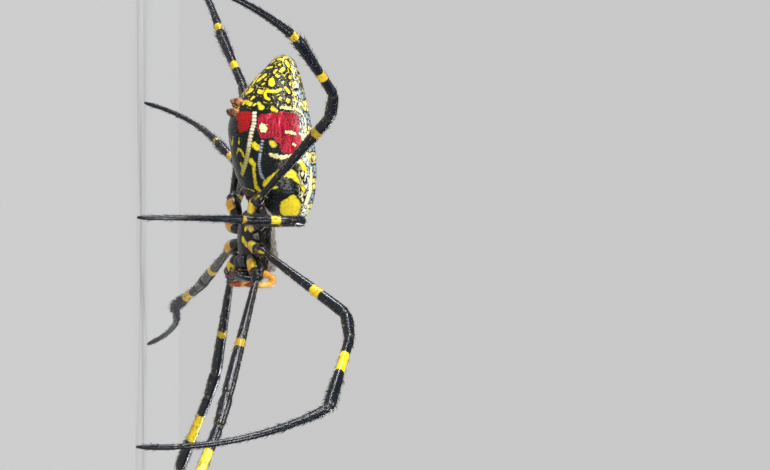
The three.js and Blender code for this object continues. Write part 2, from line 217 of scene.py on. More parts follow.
# Degrees: the way the leg heads over the floor, and the rise of femur, patella and tibia
LEG_STANCE = {
    "left_1": (40, -6, -12, -16),
    "left_2": (74, -11, -12, -17),
    "left_3": (128, 12, -14, -28),
    "left_4": (146, 8, -8, -18),
    "right_1": (33, -13, -14, -20),
    "right_2": (48, 41, 3, -15),
    "right_3": (92, 29, -30, -74),
    "right_4": (139, 33, 6, -30),
}
FOOT_BOW = 0.085  # of the foot's length, outwards

# Share along each part of the leg, and its radius as a share of the leg's
COXA_SHAPE = [(0, 0.7), (0.25, 1.0), (0.6, 1.2), (0.88, 1.2), (0.98, 1.0), (1, 0.86)]
FEMUR_SHAPE = [
    (0, 0.84), (0.015, 0.98), (0.045, 0.94), (0.06, 0.58), (0.08, 0.52), (0.2, 0.58),
    (0.4, 0.68), (0.6, 0.78), (0.8, 0.86), (0.93, 0.9), (0.985, 0.86), (1, 0.72),
]
PATELLA_SHAPE = [(0.03, 0.76), (0.12, 0.93), (0.3, 0.98), (0.75, 0.86), (0.95, 0.82), (1, 0.68)]
TIBIA_SHAPE = [
    (0.015, 0.68), (0.05, 0.8), (0.12, 0.74), (0.4, 0.7), (0.7, 0.84), (0.92, 0.9), (0.985, 0.8),
    (1, 0.62),
]
FOOT_SHAPE = [
    (0.01, 0.62), (0.03, 0.74), (0.06, 0.7), (0.15, 0.58), (0.3, 0.5), (0.45, 0.46), (0.6, 0.44),
    (0.79, 0.43), (0.8, 0.34), (0.812, 0.42), (0.9, 0.42), (0.965, 0.34), (1, 0.14),
]
LEG_SHAPES = [COXA_SHAPE, FEMUR_SHAPE, PATELLA_SHAPE, TIBIA_SHAPE, FOOT_SHAPE]
LEG_STEP = 0.13  # millimetres between the rings of a leg
LEG_SIDES = 20
CORNER_SPREAD, RADIUS_SPREAD = 3.5, 0.8  # rings over which a leg's bends and widths are rounded

# Bands of each pair: part of the leg, first and last share, and how bright
LEG_BANDS = [
    [(1, 0.56, 0.62, 0.35), (3, 0.24, 0.6, 1.0), (4, 0.0, 0.05, 0.7)],
    [(1, 0.62, 0.72, 0.9), (3, 0.24, 0.5, 1.0)],
    [(1, 0.5, 0.58, 0.35), (3, 0.25, 0.45, 0.8), (4, 0.0, 0.04, 0.4)],
    [(1, 0.8, 0.86, 0.35), (3, 0.28, 0.4, 0.8), (4, 0.0, 0.045, 0.7)],
]

# Bristles of the legs: how many for each ring, their lengths and half widths, how dense they
# grow on coxa, femur, patella, tibia and foot, and where the tibia's brush starts
BRISTLES_PER_RING = 4
BRISTLE_LENGTHS, BRISTLE_WIDTHS = (0.18, 0.45), (0.014, 0.024)
BRISTLE_DENSITY = [0.5, 0.7, 0.9, 1.0, 0.7]
BRUSH_START = 0.55

# Claws: sideways spread and length of each hook, and the radius at its root and tip
CLAW_HOOKS = [(0.09, 0.34), (-0.09, 0.34), (0.0, 0.22)]
CLAW_RADII = (0.045, 0.008)

# Eyes of the left side: across, along, up, radius
EYES = [
    (0.3, -3.58, 1.22, 0.24),
    (0.34, -3.22, 1.78, 0.24),
    (1.28, -3.36, 0.95, 0.2),
    (1.36, -3.12, 1.22, 0.2),
]

# Chelicera: how far down, how far forward its front and back are, half the width; how far
# it stands beside the middle; and the middle line and radii of its fang
CHELICERA_STATIONS = [
    (-0.5, 4.14, 4.06, 0.05),
    (-0.35, 4.25, 3.8, 0.5),
    (0.22, 4.5, 3.45, 0.72),
    (1.15, 4.45, 3.35, 0.76),
    (2.0, 4.25, 3.35, 0.66),
    (2.52, 3.98, 3.4, 0.4),
    (2.7, 3.74, 3.66, 0.05),
]
CHELICERA_ACROSS = 0.93
FANG_POINTS = [(0.1, -3.75, -2.45), (0, -3.5, -2.75), (-0.15, -3.2, -2.85), (-0.35, -2.95, -2.8)]
FANG_RADII = [0.26, 0.24, 0.15, 0.03]

# Maxilla of the left side and the labium: place along the body, top, bottom, half the width.
# A maxilla stands beside the middle and turns inwards about a point of its line.
MAXILLA_ACROSS, MAXILLA_PIVOT, MAXILLA_TURN = 0.72, -2.5, math.radians(12)
MAXILLA_STATIONS = [
    (-3.25, -0.9, -1.0, 0.04),
    (-3.15, -0.75, -1.55, 0.3),
    (-2.8, -0.7, -1.95, 0.46),
    (-2.3, -0.9, -2.0, 0.44),
    (-1.9, -1.0, -1.8, 0.34),
    (-1.7, -1.25, -1.4, 0.04),
]
LABIUM_STATIONS = [
    (-2.6, -1.2, -1.35, 0.04),
    (-2.5, -1.0, -1.7, 0.26),
    (-2.1, -1.0, -1.9, 0.36),
    (-1.75, -1.1, -1.85, 0.3),
    (-1.6, -1.3, -1.5, 0.04),
]

# Strokes under the abdomen, raised over the lungs and in the plate between them: each point
# and half the width there, the height, and how far inside the edge it is reached
LUNG_COVERS = [((0.95, 3.0, 0.4), 0.4), ((1.45, 3.7, -0.2), 0.5)]
EPIGYNE = [((-0.4, 4.3, -0.9), 0.22), ((0.4, 4.3, -0.9), 0.22)]
RAISED = [("lung", LUNG_COVERS, 0.14), ("epigyne", EPIGYNE, 0.1)]
RAISED_EDGE = 0.25

# Palp of the left side: its line from root to tip, and share along it with the radius there
PALP_POINTS = [
    (1.72, -3.1, -0.9),
    (2.3, -3.55, -0.2),
    (2.7, -3.8, 0.4),
    (2.95, -4.25, 0.8),
    (2.8, -4.7, 0.4),
    (2.5, -4.7, -0.8),
    (2.15, -4.75, -1.95),
]
PALP_SHAPE = [
    (0, 0.34), (0.12, 0.34), (0.3, 0.37), (0.36, 0.29), (0.4, 0.33), (0.47, 0.34), (0.51, 0.29),
    (0.55, 0.33), (0.68, 0.35), (0.72, 0.28), (0.76, 0.34), (0.85, 0.35), (0.94, 0.25), (1, 0.07),
]

# Spinnerets of the left side, the small one last: across, along, up, length, radius at the
# root; and share along one with the radius there as a share of the root's
SPINNERET_LEAN = math.radians(25)
SPINNERET_SHAPE = [
    (0, 1), (0.35, 0.95), (0.6, 0.82), (0.63, 0.7), (0.68, 0.74), (0.85, 0.6), (1, 0.2),
]
SPINNERETS = [
    (0.62, 12.3, -2.1, 1.6, 0.56),
    (0.55, 13.35, -1.75, 1.5, 0.5),
    (0.2, 12.9, -1.9, 1.1, 0.22),
]

# Yellow strokes of the sternum: across, along, half the width
STERNUM_MARKS = [
    [(1.3, 2.05, 0.12), (1.25, 1.5, 0.19), (1.18, 0.9, 0.17), (1.12, 0.62, 0.08)],
    [(0.82, 0.05, 0.1), (0.95, -0.35, 0.22), (1.25, -0.8, 0.2), (1.6, -0.95, 0.17),
     (1.8, -0.9, 0.1)],
]

# The sternum's outline: along and half the width, behind and in front; its rim's depth and width
STERNUM_ENDS, STERNUM_HALVES = (1.7, -1.6), (0.7, 1.25)
STERNUM_RIM = (0.08, 0.09)

# The carapace's pit and the grooves that leave it on each side: across, along; and the depth
# and width of the grooves and of the pit
FOVEA = (0.0, 0.9)
GROOVE_ENDS = [(1.75, -1.5), (2.5, -0.3), (2.6, 0.9), (2.0, 2.2)]
GROOVE, DEEPEST_GROOVE, PIT = (0.09, 0.2), 0.14, (0.16, 0.3)


def length_setting(name, description, default):
    return bpy.props.FloatProperty(
        name=name, description=description, default=default, unit="LENGTH"
    )


def colour_setting(name, description, default):
    return bpy.props.FloatVectorProperty(
        name=name, description=description, default=default, subtype="COLOR"
    )


class OrbWeaverSettings(bpy.types.PropertyGroup):
    """The sizes and colours of the weaver's finish that a user would change"""

    camera_distance: length_setting(
        "Camera distance", "From the lens to the middle of the cephalothorax", 0.23
    )
    camera_height: length_setting(
        "Camera height", "Above the floor, low, as the spider was seen from a little below", 0.004
    )
    view_width: length_setting("View width", "What the picture spans at the camera distance", 0.077)
    yellow: colour_setting(
        "Yellow", "The bright marks of the abdomen and the bands of the legs", (0.95, 0.74, 0.012)
    )
    cream: colour_setting("Cream", "The pale markings round the red patches", (0.9, 0.82, 0.42))
    red: colour_setting(
        "Red", "The patches on the flanks and before the spinnerets", (0.55, 0.015, 0.05)
    )
    black: colour_setting(
        "Black", "The ground of the abdomen and the cuticle of the legs", (0.003, 0.004, 0.006)
    )


def select_only(piece):
    """Makes one object active and alone in the selection."""
    bpy.ops.object.select_all(action="DESELECT")
    piece.select_set(True)
    bpy.context.view_layer.objects.active = piece


def through(keys, places):
    """A smooth line through rows of a place and its values, read at each of the places."""
    keys = np.array(keys, float)
    at, values = keys[:, 0], keys[:, 1:]
    slopes = np.gradient(values, at, axis=0)
    low = np.clip(np.searchsorted(at, places) - 1, 0, len(at) - 2)
    span = (at[low + 1] - at[low])[:, None]
    t = ((places - at[low]) / span[:, 0])[:, None]
    start = (1 + 2 * t) * (1 - t) ** 2 * values[low] + t * (1 - t) ** 2 * span * slopes[low]
    end = t * t * (3 - 2 * t) * values[low + 1] + t * t * (t - 1) * span * slopes[low + 1]
    return start + end


def vertex_places(piece):
    places = np.zeros(len(piece.data.vertices) * 3)
    piece.data.vertices.foreach_get("co", places)
    return places.reshape(-1, 3)


def vertex_normals(piece):
    normals = np.zeros(len(piece.data.vertices) * 3)
    piece.data.vertices.foreach_get("normal", normals)
    return normals.reshape(-1, 3)


def set_places(piece, places):
    piece.data.vertices.foreach_set("co", np.asarray(places, float).ravel())
    piece.data.update()


def set_attribute(piece, name, values):
    """Keeps one number for each vertex, which a material can read by its name."""
    attribute = piece.data.attributes.new(name, "FLOAT", "POINT")
    attribute.data.foreach_set("value", np.asarray(values, np.float32))


def apply_modifier(piece, kind, **settings):
    select_only(piece)
    modifier = piece.modifiers.new(kind.lower(), kind)
    for name, value in settings.items():
        setattr(modifier, name, value)
    bpy.ops.object.modifier_apply(modifier=modifier.name)


def joined(name, pieces):
    """Joins the pieces into the last of them, under that name."""
    for piece in pieces:
        piece.select_set(True)
    bpy.context.view_layer.objects.active = pieces[-1]
    bpy.ops.object.join()
    pieces[-1].name = name
    return pieces[-1]


def sort_edges_and_faces():
    """Puts them in one order, because extrude lists them in another in each run of Blender."""
    cursor = bpy.context.scene.cursor
    for place in SORTING_PLACES:
        cursor.location = place
        bpy.ops.mesh.sort_elements(type="CURSOR_DISTANCE", elements={"EDGE", "FACE"})
    cursor.location = (0, 0, 0)


def loft(name, stations, sides, rings):
    """A closed body drawn out ring by ring along Y. Stations are place, top, bottom, half width."""
    first, last = stations[0][0], stations[-1][0]
    places = first + (last - first) * (1 - np.cos(np.linspace(0, np.pi, rings))) / 2
    shape = through(stations, places)
    start = (0, places[0], shape[0][:2].mean())
    bpy.ops.mesh.primitive_circle_add(
        vertices=sides, radius=1, location=start, rotation=(math.pi / 2, 0, 0)
    )
    piece = bpy.context.object
    piece.name = name
    bpy.ops.object.transform_apply(location=True, rotation=True, scale=True)
    bpy.ops.object.mode_set(mode="EDIT")
    bpy.ops.mesh.select_all(action="SELECT")
    across, upright, middle = 1.0, 1.0, start[2]
    for i, (place, (top, bottom, half)) in enumerate(zip(places, shape)):
        if i:
            step = (0, place - places[i - 1], (top + bottom) / 2 - middle)
            bpy.ops.mesh.extrude_edges_move(TRANSFORM_OT_translate={"value": step})
        middle = (top + bottom) / 2
        growth = (half / across, 1, (top - bottom) / 2 / upright)
        bpy.ops.transform.resize(value=growth, center_override=(0, place, middle))
        across, upright = half, (top - bottom) / 2
    bpy.ops.mesh.merge(type="CENTER")
    bpy.ops.mesh.select_all(action="DESELECT")
    bpy.ops.mesh.select_non_manifold()
    bpy.ops.mesh.merge(type="CENTER")
    bpy.ops.mesh.select_all(action="SELECT")
    bpy.ops.mesh.normals_make_consistent(inside=False)
    sort_edges_and_faces()
    bpy.ops.object.mode_set(mode="OBJECT")
    apply_modifier(piece, "SUBSURF", levels=1, render_levels=1)
    bpy.ops.object.shade_smooth()
    return piece


def tube(name, points, radii, sides):
    """A closed tube through points, a bevelled path turned into a mesh."""
    bpy.ops.curve.primitive_nurbs_path_add(location=(0, 0, 0))
    path = bpy.context.object
    path.name = name
    path.data.splines.clear()
    spline = path.data.splines.new("POLY")
    spline.points.add(len(points) - 1)
    spline.points.foreach_set("co", np.column_stack([points, np.ones(len(points))]).ravel())
    spline.points.foreach_set("radius", radii)
    path.data.bevel_depth = 1.0
    path.data.bevel_resolution = sides // 2 - 2
    path.data.use_fill_caps = True
    bpy.ops.object.convert(target="MESH")
    piece = bpy.context.object
    bpy.ops.object.mode_set(mode="EDIT")
    bpy.ops.mesh.select_all(action="SELECT")
    bpy.ops.mesh.remove_doubles(threshold=1e-5)
    bpy.ops.mesh.normals_make_consistent(inside=False)
    bpy.ops.object.mode_set(mode="OBJECT")
    bpy.ops.object.shade_smooth()
    return piece


def unit(vectors):
    return vectors / np.linalg.norm(vectors, axis=-1, keepdims=True)


def smoothed(rows, spread):
    """Rows along a path with their corners rounded over that many steps, its ends kept."""
    reach = int(3 * spread)
    weights = np.exp(-0.5 * (np.arange(-reach, reach + 1) / spread) ** 2)
    padded = np.pad(rows, ((reach, reach), (0, 0)), mode="edge")
    padded[:reach] = 2 * rows[0] - rows[reach:0:-1]
    padded[-reach:] = 2 * rows[-1] - rows[-2 : -reach - 2 : -1]
    columns = [np.convolve(column, weights / weights.sum(), mode="valid") for column in padded.T]
    return np.column_stack(columns)


def tufts(name, roots, leans, bends, lengths, widths, unwrap, tones):
    """Tapered hairs as one mesh. A hair leaves its root along lean and curves over by bend."""
    count = len(roots)
    lengths, widths = lengths[:, None], widths[:, None]
    across = unit(np.cross(leans, (0.37, 0.61, 0.7)))
    upright = np.cross(leans, across)
    middles = roots + leans * lengths * 0.55 + bends * lengths * 0.12
    tips = roots + leans * lengths * 0.95 + bends * lengths * 0.45
    points = np.zeros((count, 7, 3))
    for k in range(3):
        turn = 2 * math.pi * k / 3
        out = (across * math.cos(turn) + upright * math.sin(turn)) * widths
        points[:, k] = roots + out
        points[:, 3 + k] = middles + out * 0.7
    points[:, 6] = tips
    faces = [(2, 1, 0)]
    for k in range(3):
        after = (k + 1) % 3
        faces += [(k, after, 3 + after, 3 + k), (3 + k, 3 + after, 6)]
    mesh = bpy.data.meshes.new(name)
    every = [tuple(7 * i + corner for corner in face) for i in range(count) for face in faces]
    mesh.from_pydata(points.reshape(-1, 3), [], every)
    piece = bpy.data.objects.new(name, mesh)
    bpy.context.scene.collection.objects.link(piece)
    set_attribute(piece, "tone", np.repeat(tones, 7))
    corners = np.array([loop.vertex_index for loop in mesh.loops])
    spread = np.array([(0, 0), (1, 0), (0, 1), (0, 0), (1, 0), (0, 1), (1, 1)]) * 0.003
    patches = np.repeat(unwrap, 7, axis=0) + np.tile(spread, (count, 1))
    mesh.uv_layers.new(name="OFBake").data.foreach_set("uv", patches[corners].ravel())
    select_only(piece)
    bpy.ops.object.mode_set(mode="EDIT")
    bpy.ops.mesh.select_all(action="SELECT")
    bpy.ops.mesh.normals_make_consistent(inside=False)
    bpy.ops.object.mode_set(mode="OBJECT")
    return piece


class Paint:
    """Short ways to add and join the nodes of one material."""

    def __init__(self, name):
        self.material = bpy.data.materials.new(name)
        self.material.use_nodes = True
        self.tree = self.material.node_tree
        self.shader = self.tree.nodes["Principled BSDF"]

    def node(self, kind, inputs=None, **settings):
        made = self.tree.nodes.new(kind)
        for name, value in settings.items():
            setattr(made, name, value)
        for name, value in (inputs or {}).items():
            self.set(made.inputs[name], value)
        return made

    def set(self, socket, value):
        if isinstance(value, bpy.types.NodeSocket):
            self.tree.links.new(value, socket)
        elif socket.type == "RGBA" and len(value) == 3:
            socket.default_value = (*value, 1)
        else:
            socket.default_value = value

    def surface(self, **values):
        for name, value in values.items():
            self.set(self.shader.inputs[name.replace("_", " ")], value)

    def math(self, operation, *values):
        numbers = dict(enumerate(values))
        return self.node("ShaderNodeMath", numbers, operation=operation).outputs[0]

    def add(self, a, b):
        return self.math("ADD", a, b)

    def times(self, a, b):
        return self.math("MULTIPLY", a, b)

    def scaled(self, value, scale, offset):
        return self.math("MULTIPLY_ADD", value, scale, offset)

    def apart(self, a, b):
        return self.math("ABSOLUTE", self.math("SUBTRACT", a, b))

    def attribute(self, name):
        return self.node("ShaderNodeAttribute", attribute_name=name).outputs["Fac"]

    def millimetres(self, stretch=(1, 1, 1)):
        """The place on the piece, in millimetres, drawn out along the axes."""
        place = self.node("ShaderNodeTexCoord").outputs["Object"]
        scale = [s / MM for s in stretch]
        return self.node("ShaderNodeMapping", {"Vector": place, "Scale": scale}).outputs[0]

    def noise(self, place, scale, detail=2.0):
        inputs = {"Vector": place, "Scale": scale, "Detail": detail}
        return self.node("ShaderNodeTexNoise", inputs).outputs["Fac"]

    def edge(self, value, at=0.0, soft=0.05):
        """1 where value is above at, 0 below it, with a soft edge."""
        inputs = {"Value": value, "From Min": at - soft, "From Max": at + soft}
        return self.node("ShaderNodeMapRange", inputs, interpolation_type="SMOOTHSTEP").outputs[0]

    def below(self, value, at, soft):
        """1 where value is below at, 0 above it, with a soft edge."""
        return self.edge(self.times(value, -1), -at, soft)

    def cells(self, place, scale, feature="F1"):
        """Distance from the middle or the edge of a random cell."""
        inputs = {"Vector": place, "Scale": scale}
        return self.node("ShaderNodeTexVoronoi", inputs, feature=feature).outputs["Distance"]

    def mix(self, factor, low, high):
        made = self.node("ShaderNodeMix", data_type="RGBA")
        self.set(made.inputs[0], factor)
        self.set(made.inputs[6], low)
        self.set(made.inputs[7], high)
        return made.outputs[2]

    def bump(self, height, distance):
        inputs = {"Height": height, "Distance": distance * MM}
        self.set(self.shader.inputs["Normal"], self.node("ShaderNodeBump", inputs).outputs[0])


class ORBWEAVER_OT_stage(bpy.types.Operator):
    """Adds the pale floor and backdrop, the studio lights and the camera"""

    bl_idname = "orbweaver.stage"
    bl_label = "Stage"

    def execute(self, context):
        add_floor()
        add_lights(context.scene)
        add_camera(context.scene, context.scene.orb_weaver)
        return {"FINISHED"}


def add_floor():
    bpy.ops.mesh.primitive_plane_add(size=FLOOR_SIZE, location=(0, 0, 0))
    floor = bpy.context.object
    floor.name = "stage_floor"
    paper = Paint("studio_paper")
    paper.surface(Base_Color=PAPER_COLOUR, Roughness=0.95, Specular_IOR_Level=0.1)
    floor.data.materials.append(paper.material)


def add_lights(scene):
    """A soft sky, which the camera sees as a pale backdrop, and broad suns."""
    world = bpy.data.worlds.new("studio")
    scene.world = world
    world.use_nodes = True
    nodes, links = world.node_tree.nodes, world.node_tree.links
    sky = nodes["Background"]
    sky.inputs["Color"].default_value = (*SKY_COLOUR, 1)
    sky.inputs["Strength"].default_value = SKY_STRENGTH
    backdrop = nodes.new("ShaderNodeBackground")
    backdrop.inputs["Color"].default_value = (*BACKDROP_COLOUR, 1)
    choice = nodes.new("ShaderNodeMixShader")
    links.new(nodes.new("ShaderNodeLightPath").outputs["Is Camera Ray"], choice.inputs["Fac"])
    links.new(sky.outputs[0], choice.inputs[1])
    links.new(backdrop.outputs[0], choice.inputs[2])
    links.new(choice.outputs[0], nodes["World Output"].inputs["Surface"])
    scene.view_settings.view_transform = "Standard"

    for place, power, width, colour in STUDIO_LIGHTS:
        bpy.ops.object.light_add(type="SUN", location=place)
        light = bpy.context.object
        light.data.energy = power
        light.data.angle = math.radians(width)
        light.data.color = colour
        light.rotation_euler = Vector(place).to_track_quat("Z", "Y").to_euler()


def view_axes(settings):
    """Where the camera stands, low on the right side, and its right, up and forward."""
    place = Vector((BODY_PLACE.x - settings.camera_distance, BODY_PLACE.y, settings.camera_height))
    forward = (BODY_PLACE + VIEW_AIM - place).normalized()
    right = forward.cross(Vector((0, 1, 0))).normalized()
    return place, right, right.cross(forward), forward


def add_camera(scene, settings):
    """The camera, rolled so that the spider hangs head down in the picture."""
    place, right, up, forward = view_axes(settings)
    turn = Matrix((right, up, -forward)).transposed()
    bpy.ops.object.camera_add(location=place, rotation=turn.to_euler())
    camera = bpy.context.object
    camera.name = "camera"
    camera.data.lens = camera.data.sensor_width * settings.camera_distance / settings.view_width
    camera.data.clip_start = 0.005
    scene.camera = camera


class ORBWEAVER_OT_abdomen(bpy.types.Operator):
    """Draws out the abdomen's skin and paints its markings"""

    bl_idname = "orbweaver.abdomen"
    bl_label = "Abdomen"

    def execute(self, context):
        skin = loft("abdomen_skin", ABDOMEN_STATIONS, ABDOMEN_SIDES, ABDOMEN_RINGS)
        mark_abdomen(skin, context.scene.orb_weaver)
        skin.data.transform(BODY_FRAME)
        skin.data.materials.append(abdomen_material(context.scene.orb_weaver))
        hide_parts("abdomen")
        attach(skin, "root")
        return {"FINISHED"}


def abdomen_round(places):
    """Millimetres behind the abdomen's front, and degrees round it from the belly line."""
    top, bottom, _ = through(ABDOMEN_STATIONS, places[:, 1]).T
    rise = places[:, 2] - (top + bottom) / 2
    return places[:, 1] - ABDOMEN_STATIONS[0][0], np.degrees(np.arctan2(-places[:, 0], -rise))


def seen_point(tree, settings, across, down):
    """The point of the abdomen that shows at a pixel of the photograph."""
    place, right, up, forward = view_axes(settings)
    pixel = settings.view_width / settings.camera_distance / PHOTO_WIDTH
    ray = forward + right * (across - PHOTO_WIDTH / 2) * pixel
    ray += up * (PHOTO_HEIGHT / 2 - down) * pixel
    to_body = BODY_FRAME.inverted()
    start, ray = to_body @ place, (to_body.to_3x3() @ ray).normalized()
    hit = tree.ray_cast(start, ray)[0]
    if hit is None:
        middle = Vector(ABDOMEN_MIDDLE)
        hit = tree.find_nearest(start + ray * (middle - start).dot(ray))[0]
    return np.array(hit)


def stroke_distance(places, points, halves):
    """How far each place lies outside a stroke through points with those half widths."""
    nearest = np.full(len(places), FAR)
    for a, b, half_a, half_b in zip(points, points[1:], halves, halves[1:]):
        along = b - a
        share = np.clip((places - a) @ along / max(along @ along, 1e-9), 0, 1)
        gap = np.linalg.norm(places - a - share[:, None] * along, axis=1)
        nearest = np.minimum(nearest, gap - half_a - (half_b - half_a) * share)
    return nearest


def mark_abdomen(skin, settings):
    """Keeps each vertex's distance inside each kind of marking and inside the row of painted
    glints, and raises the lungs' covers.
    """
    places = vertex_places(skin)
    mirrored = places * (-1, 1, 1)
    along, around = abdomen_round(places)
    set_attribute(skin, "along", along)
    set_attribute(skin, "around", np.abs(around))
    faces = [tuple(p.vertices) for p in skin.data.polygons]
    tree = BVHTree.FromPolygons([Vector(p) for p in places], faces)

    normals = vertex_normals(skin)
    raised = np.zeros(len(places))
    for name, keys, height in RAISED:
        points, halves = [np.array(point) for point, _ in keys], [half for _, half in keys]
        sides = [stroke_distance(side, points, halves) for side in (places, mirrored)]
        inside = -np.min(sides, axis=0)
        set_attribute(skin, name, inside)
        raised = np.maximum(raised, height * np.clip(inside / RAISED_EDGE, 0, 1) ** 0.6)

    marks = dict(MARKS)
    for name, (pixels, count, half) in BEADS.items():
        rows = np.linspace(0, len(pixels) - 1, count)
        across, down = (np.interp(rows, range(len(pixels)), column) for column in zip(*pixels))
        wide = BEAD_WIDTH[name]
        marks[name] = [[(u - wide, v, half), (u + wide, v, half)] for u, v in zip(across, down)]

    for name, strokes in marks.items():
        distances = []
        for stroke in strokes:
            points = [seen_point(tree, settings, u, v) for u, v, _ in stroke]
            halves = [half for *_, half in stroke]
            for side in (places, mirrored):
                distances.append(stroke_distance(side, points, halves))
        if name == "spots":
            distances += tail_spots(places, along, np.min(distances, axis=0))
            nearest, second = np.sort(distances, axis=0)[:2]
            set_attribute(skin, "net", (second - nearest) / 2)
        set_attribute(skin, name, -np.min(distances, axis=0))
    set_places(skin, places + normals * raised[:, None])


def tail_spots(places, along, taken):
    """Distances to drawn spots, which fill the tail where no spot stands yet."""
    draw = np.random.default_rng(SEED)
    distances = []
    free = np.array(taken)
    for _ in range(TAIL_SPOTS):
        size = SPOT_ROOM + SPOT_ROOM_AHEAD * (ABDOMEN_STATIONS[-1][0] - places[:, 1])
        room = (along > TAIL_START) & (free > size * draw.uniform(0.75, 1.1))
        if not room.any():
            break
        at = draw.choice(np.flatnonzero(room))
        middle = places[at]
        lean = SPOT_WAY * draw.uniform(*SPOT_LENGTHS)
        half = draw.uniform(*SPOT_HALVES)
        spot = stroke_distance(places, [middle - lean / 2, middle + lean / 2], [half * 0.8, half])
        distances.append(spot)
        free = np.minimum(free, spot)
    return distances


def abdomen_material(colours):
    paint = Paint("abdomen_cuticle")
    place = paint.millimetres()
    coarse = paint.scaled(paint.noise(place, 1.5, 4), 0.5, -0.25)
    fine = paint.scaled(paint.noise(place, 3.4, 5), 0.34, -0.17)
    fine = paint.scaled(paint.noise(place, 10, 3), 0.16, paint.add(fine, -0.08))
    along, around = paint.attribute("along"), paint.attribute("around")

    def mask(name, wobble=fine, soft=0.03, at=0.0):
        return paint.edge(paint.add(paint.attribute(name), wobble), at, soft)

    # Green-black ground with faint olive flecks
    flecks = paint.edge(paint.noise(place, 3.2, 3), 0.66, 0.05)
    ground = paint.mix(paint.noise(place, 0.7), (0.001, 0.005, 0.003), (0.004, 0.009, 0.012))
    ground = paint.mix(paint.times(flecks, 0.35), ground, (0.1, 0.1, 0.01))

    # Net and spots of the tail
    line = paint.scaled(fine, -0.6, paint.attribute("net"))
    line = paint.below(line, 0.045, 0.02)
    broken = paint.edge(paint.noise(place, 2.1, 2), 0.53, 0.04)
    tail = paint.edge(paint.add(along, coarse), TAIL_START, 0.2)
    net = paint.times(paint.times(line, broken), tail)
    colour = paint.mix(paint.times(net, 0.8), ground, colours.yellow)
    colour = paint.mix(mask("spots", fine, 0.03, -0.05), colour, colours.yellow)

    # Cross bands of the back, broken up where they run down the flank
    back = paint.edge(paint.scaled(coarse, 40.0, around), BACK_START, 3)
    wave = paint.scaled(coarse, 1.6, along)
    phase = paint.math("FRACT", paint.math("DIVIDE", wave, BAND_PITCH))
    centre = paint.apart(phase, 0.5)
    band = paint.below(centre, 0.24, 0.015)
    rim = paint.edge(paint.apart(centre, 0.24), 0.03, 0.01)
    cells = paint.cells(place, 1.7, "DISTANCE_TO_EDGE")
    veins = paint.edge(paint.add(cells, fine), 0.09, 0.03)
    greys = paint.mix(paint.noise(place, 2.5, 4), (0.16, 0.26, 0.28), (0.55, 0.64, 0.66))
    greys = paint.mix(veins, (0.02, 0.03, 0.03), greys)
    pales = paint.mix(paint.noise(place, 1.2, 3), colours.yellow, colours.cream)
    pales = paint.mix(veins, (0.03, 0.03, 0.02), pales)
    backs = paint.mix(band, greys, pales)
    backs = paint.mix(rim, (0.01, 0.012, 0.01), backs)
    ahead = paint.below(along, 13.2, 1.2)
    colour = paint.mix(paint.times(back, ahead), colour, backs)

    # Mottling between flank and back
    border = paint.below(paint.apart(around, BORDER), 11, 6)
    specks = paint.edge(paint.noise(paint.millimetres((2.2, 1.0, 2.2)), 2.6, 3), 0.51, 0.03)
    pearl = paint.mix(paint.edge(around, 112, 6), colours.cream, (0.74, 0.82, 0.8))
    colour = paint.mix(paint.times(specks, border), colour, pearl)

    # Red patches with fine streaks along the body
    streaks = paint.noise(paint.millimetres((3.5, 0.6, 3.5)), 1.2, 3)
    reds = paint.mix(paint.edge(streaks, 0.5, 0.14), (0.26, 0.003, 0.012), colours.red)
    reds = paint.mix(paint.edge(streaks, 0.68, 0.05), reds, (0.75, 0.16, 0.2))
    reds = paint.mix(paint.edge(around, 48, 6), (0.42, 0.002, 0.004), reds)
    colour = paint.mix(mask("red", coarse, 0.05), colour, reds)
    shade = paint.times(mask("cream", fine, 0.12, -0.16), 0.35)
    colour = paint.mix(shade, colour, (0.02, 0.012, 0.006))

    # Yellow and cream markings, olive where the yellow is thin, and a row of painted glints
    yellows = paint.mix(paint.noise(place, 1.4, 3), colours.yellow, (0.9, 0.72, 0.05))
    thin = paint.edge(paint.add(paint.attribute("yellow"), fine), 0.1, 0.14)
    yellows = paint.mix(thin, (0.5, 0.42, 0.01), yellows)
    colour = paint.mix(mask("yellow"), colour, yellows)
    jagged = paint.scaled(paint.noise(place, 4.5, 4), 0.6, -0.34)
    colour = paint.mix(mask("cream", jagged), colour, colours.cream)
    beads = paint.mix(paint.edge(along, 7.6, 1.3), (0.5, 0.46, 0.12), (0.92, 0.82, 0.56))
    colour = paint.mix(mask("bead", 0.0, 0.06), colour, beads)
    # Painted highlight: the glint row takes a silvery blue colour, as glints of light along a ridge
    colour = paint.mix(mask("glint", 0.0, 0.05), colour, (0.36, 0.43, 0.55))

    # Warm, wrinkled covers of the lungs and the dark plate between them
    folds = paint.noise(paint.millimetres((2, 0.5, 2)), 3.5, 3)
    warm = paint.mix(paint.edge(folds, 0.5, 0.12), (0.1, 0.03, 0.008), (0.72, 0.27, 0.04))
    colour = paint.mix(mask("lung", coarse, 0.06), colour, warm)
    colour = paint.mix(mask("epigyne", fine, 0.05), colour, (0.12, 0.03, 0.01))

    # Fine black cracks through all the pale marks
    cracks = paint.below(paint.apart(paint.noise(place, 1.9, 5), 0.5), 0.012, 0.006)
    colour = paint.mix(paint.times(cracks, 0.4), colour, (0.012, 0.014, 0.008))

    rough = paint.scaled(paint.noise(place, 3.5, 3), 0.26, 0.12)
    rough = paint.scaled(back, 0.2, rough)
    paint.surface(Base_Color=colour, Roughness=rough, Specular_IOR_Level=0.28)
    height = paint.scaled(mask("bead", 0.0, 0.12), 1.2, paint.noise(place, 3, 4))
    height = paint.scaled(mask("glint", 0.0, 0.1), 1.2, height)
    dimples = paint.edge(paint.cells(place, 2.6), 0.2, 0.15)
    paint.bump(paint.add(height, dimples), 0.07)
    return paint.material


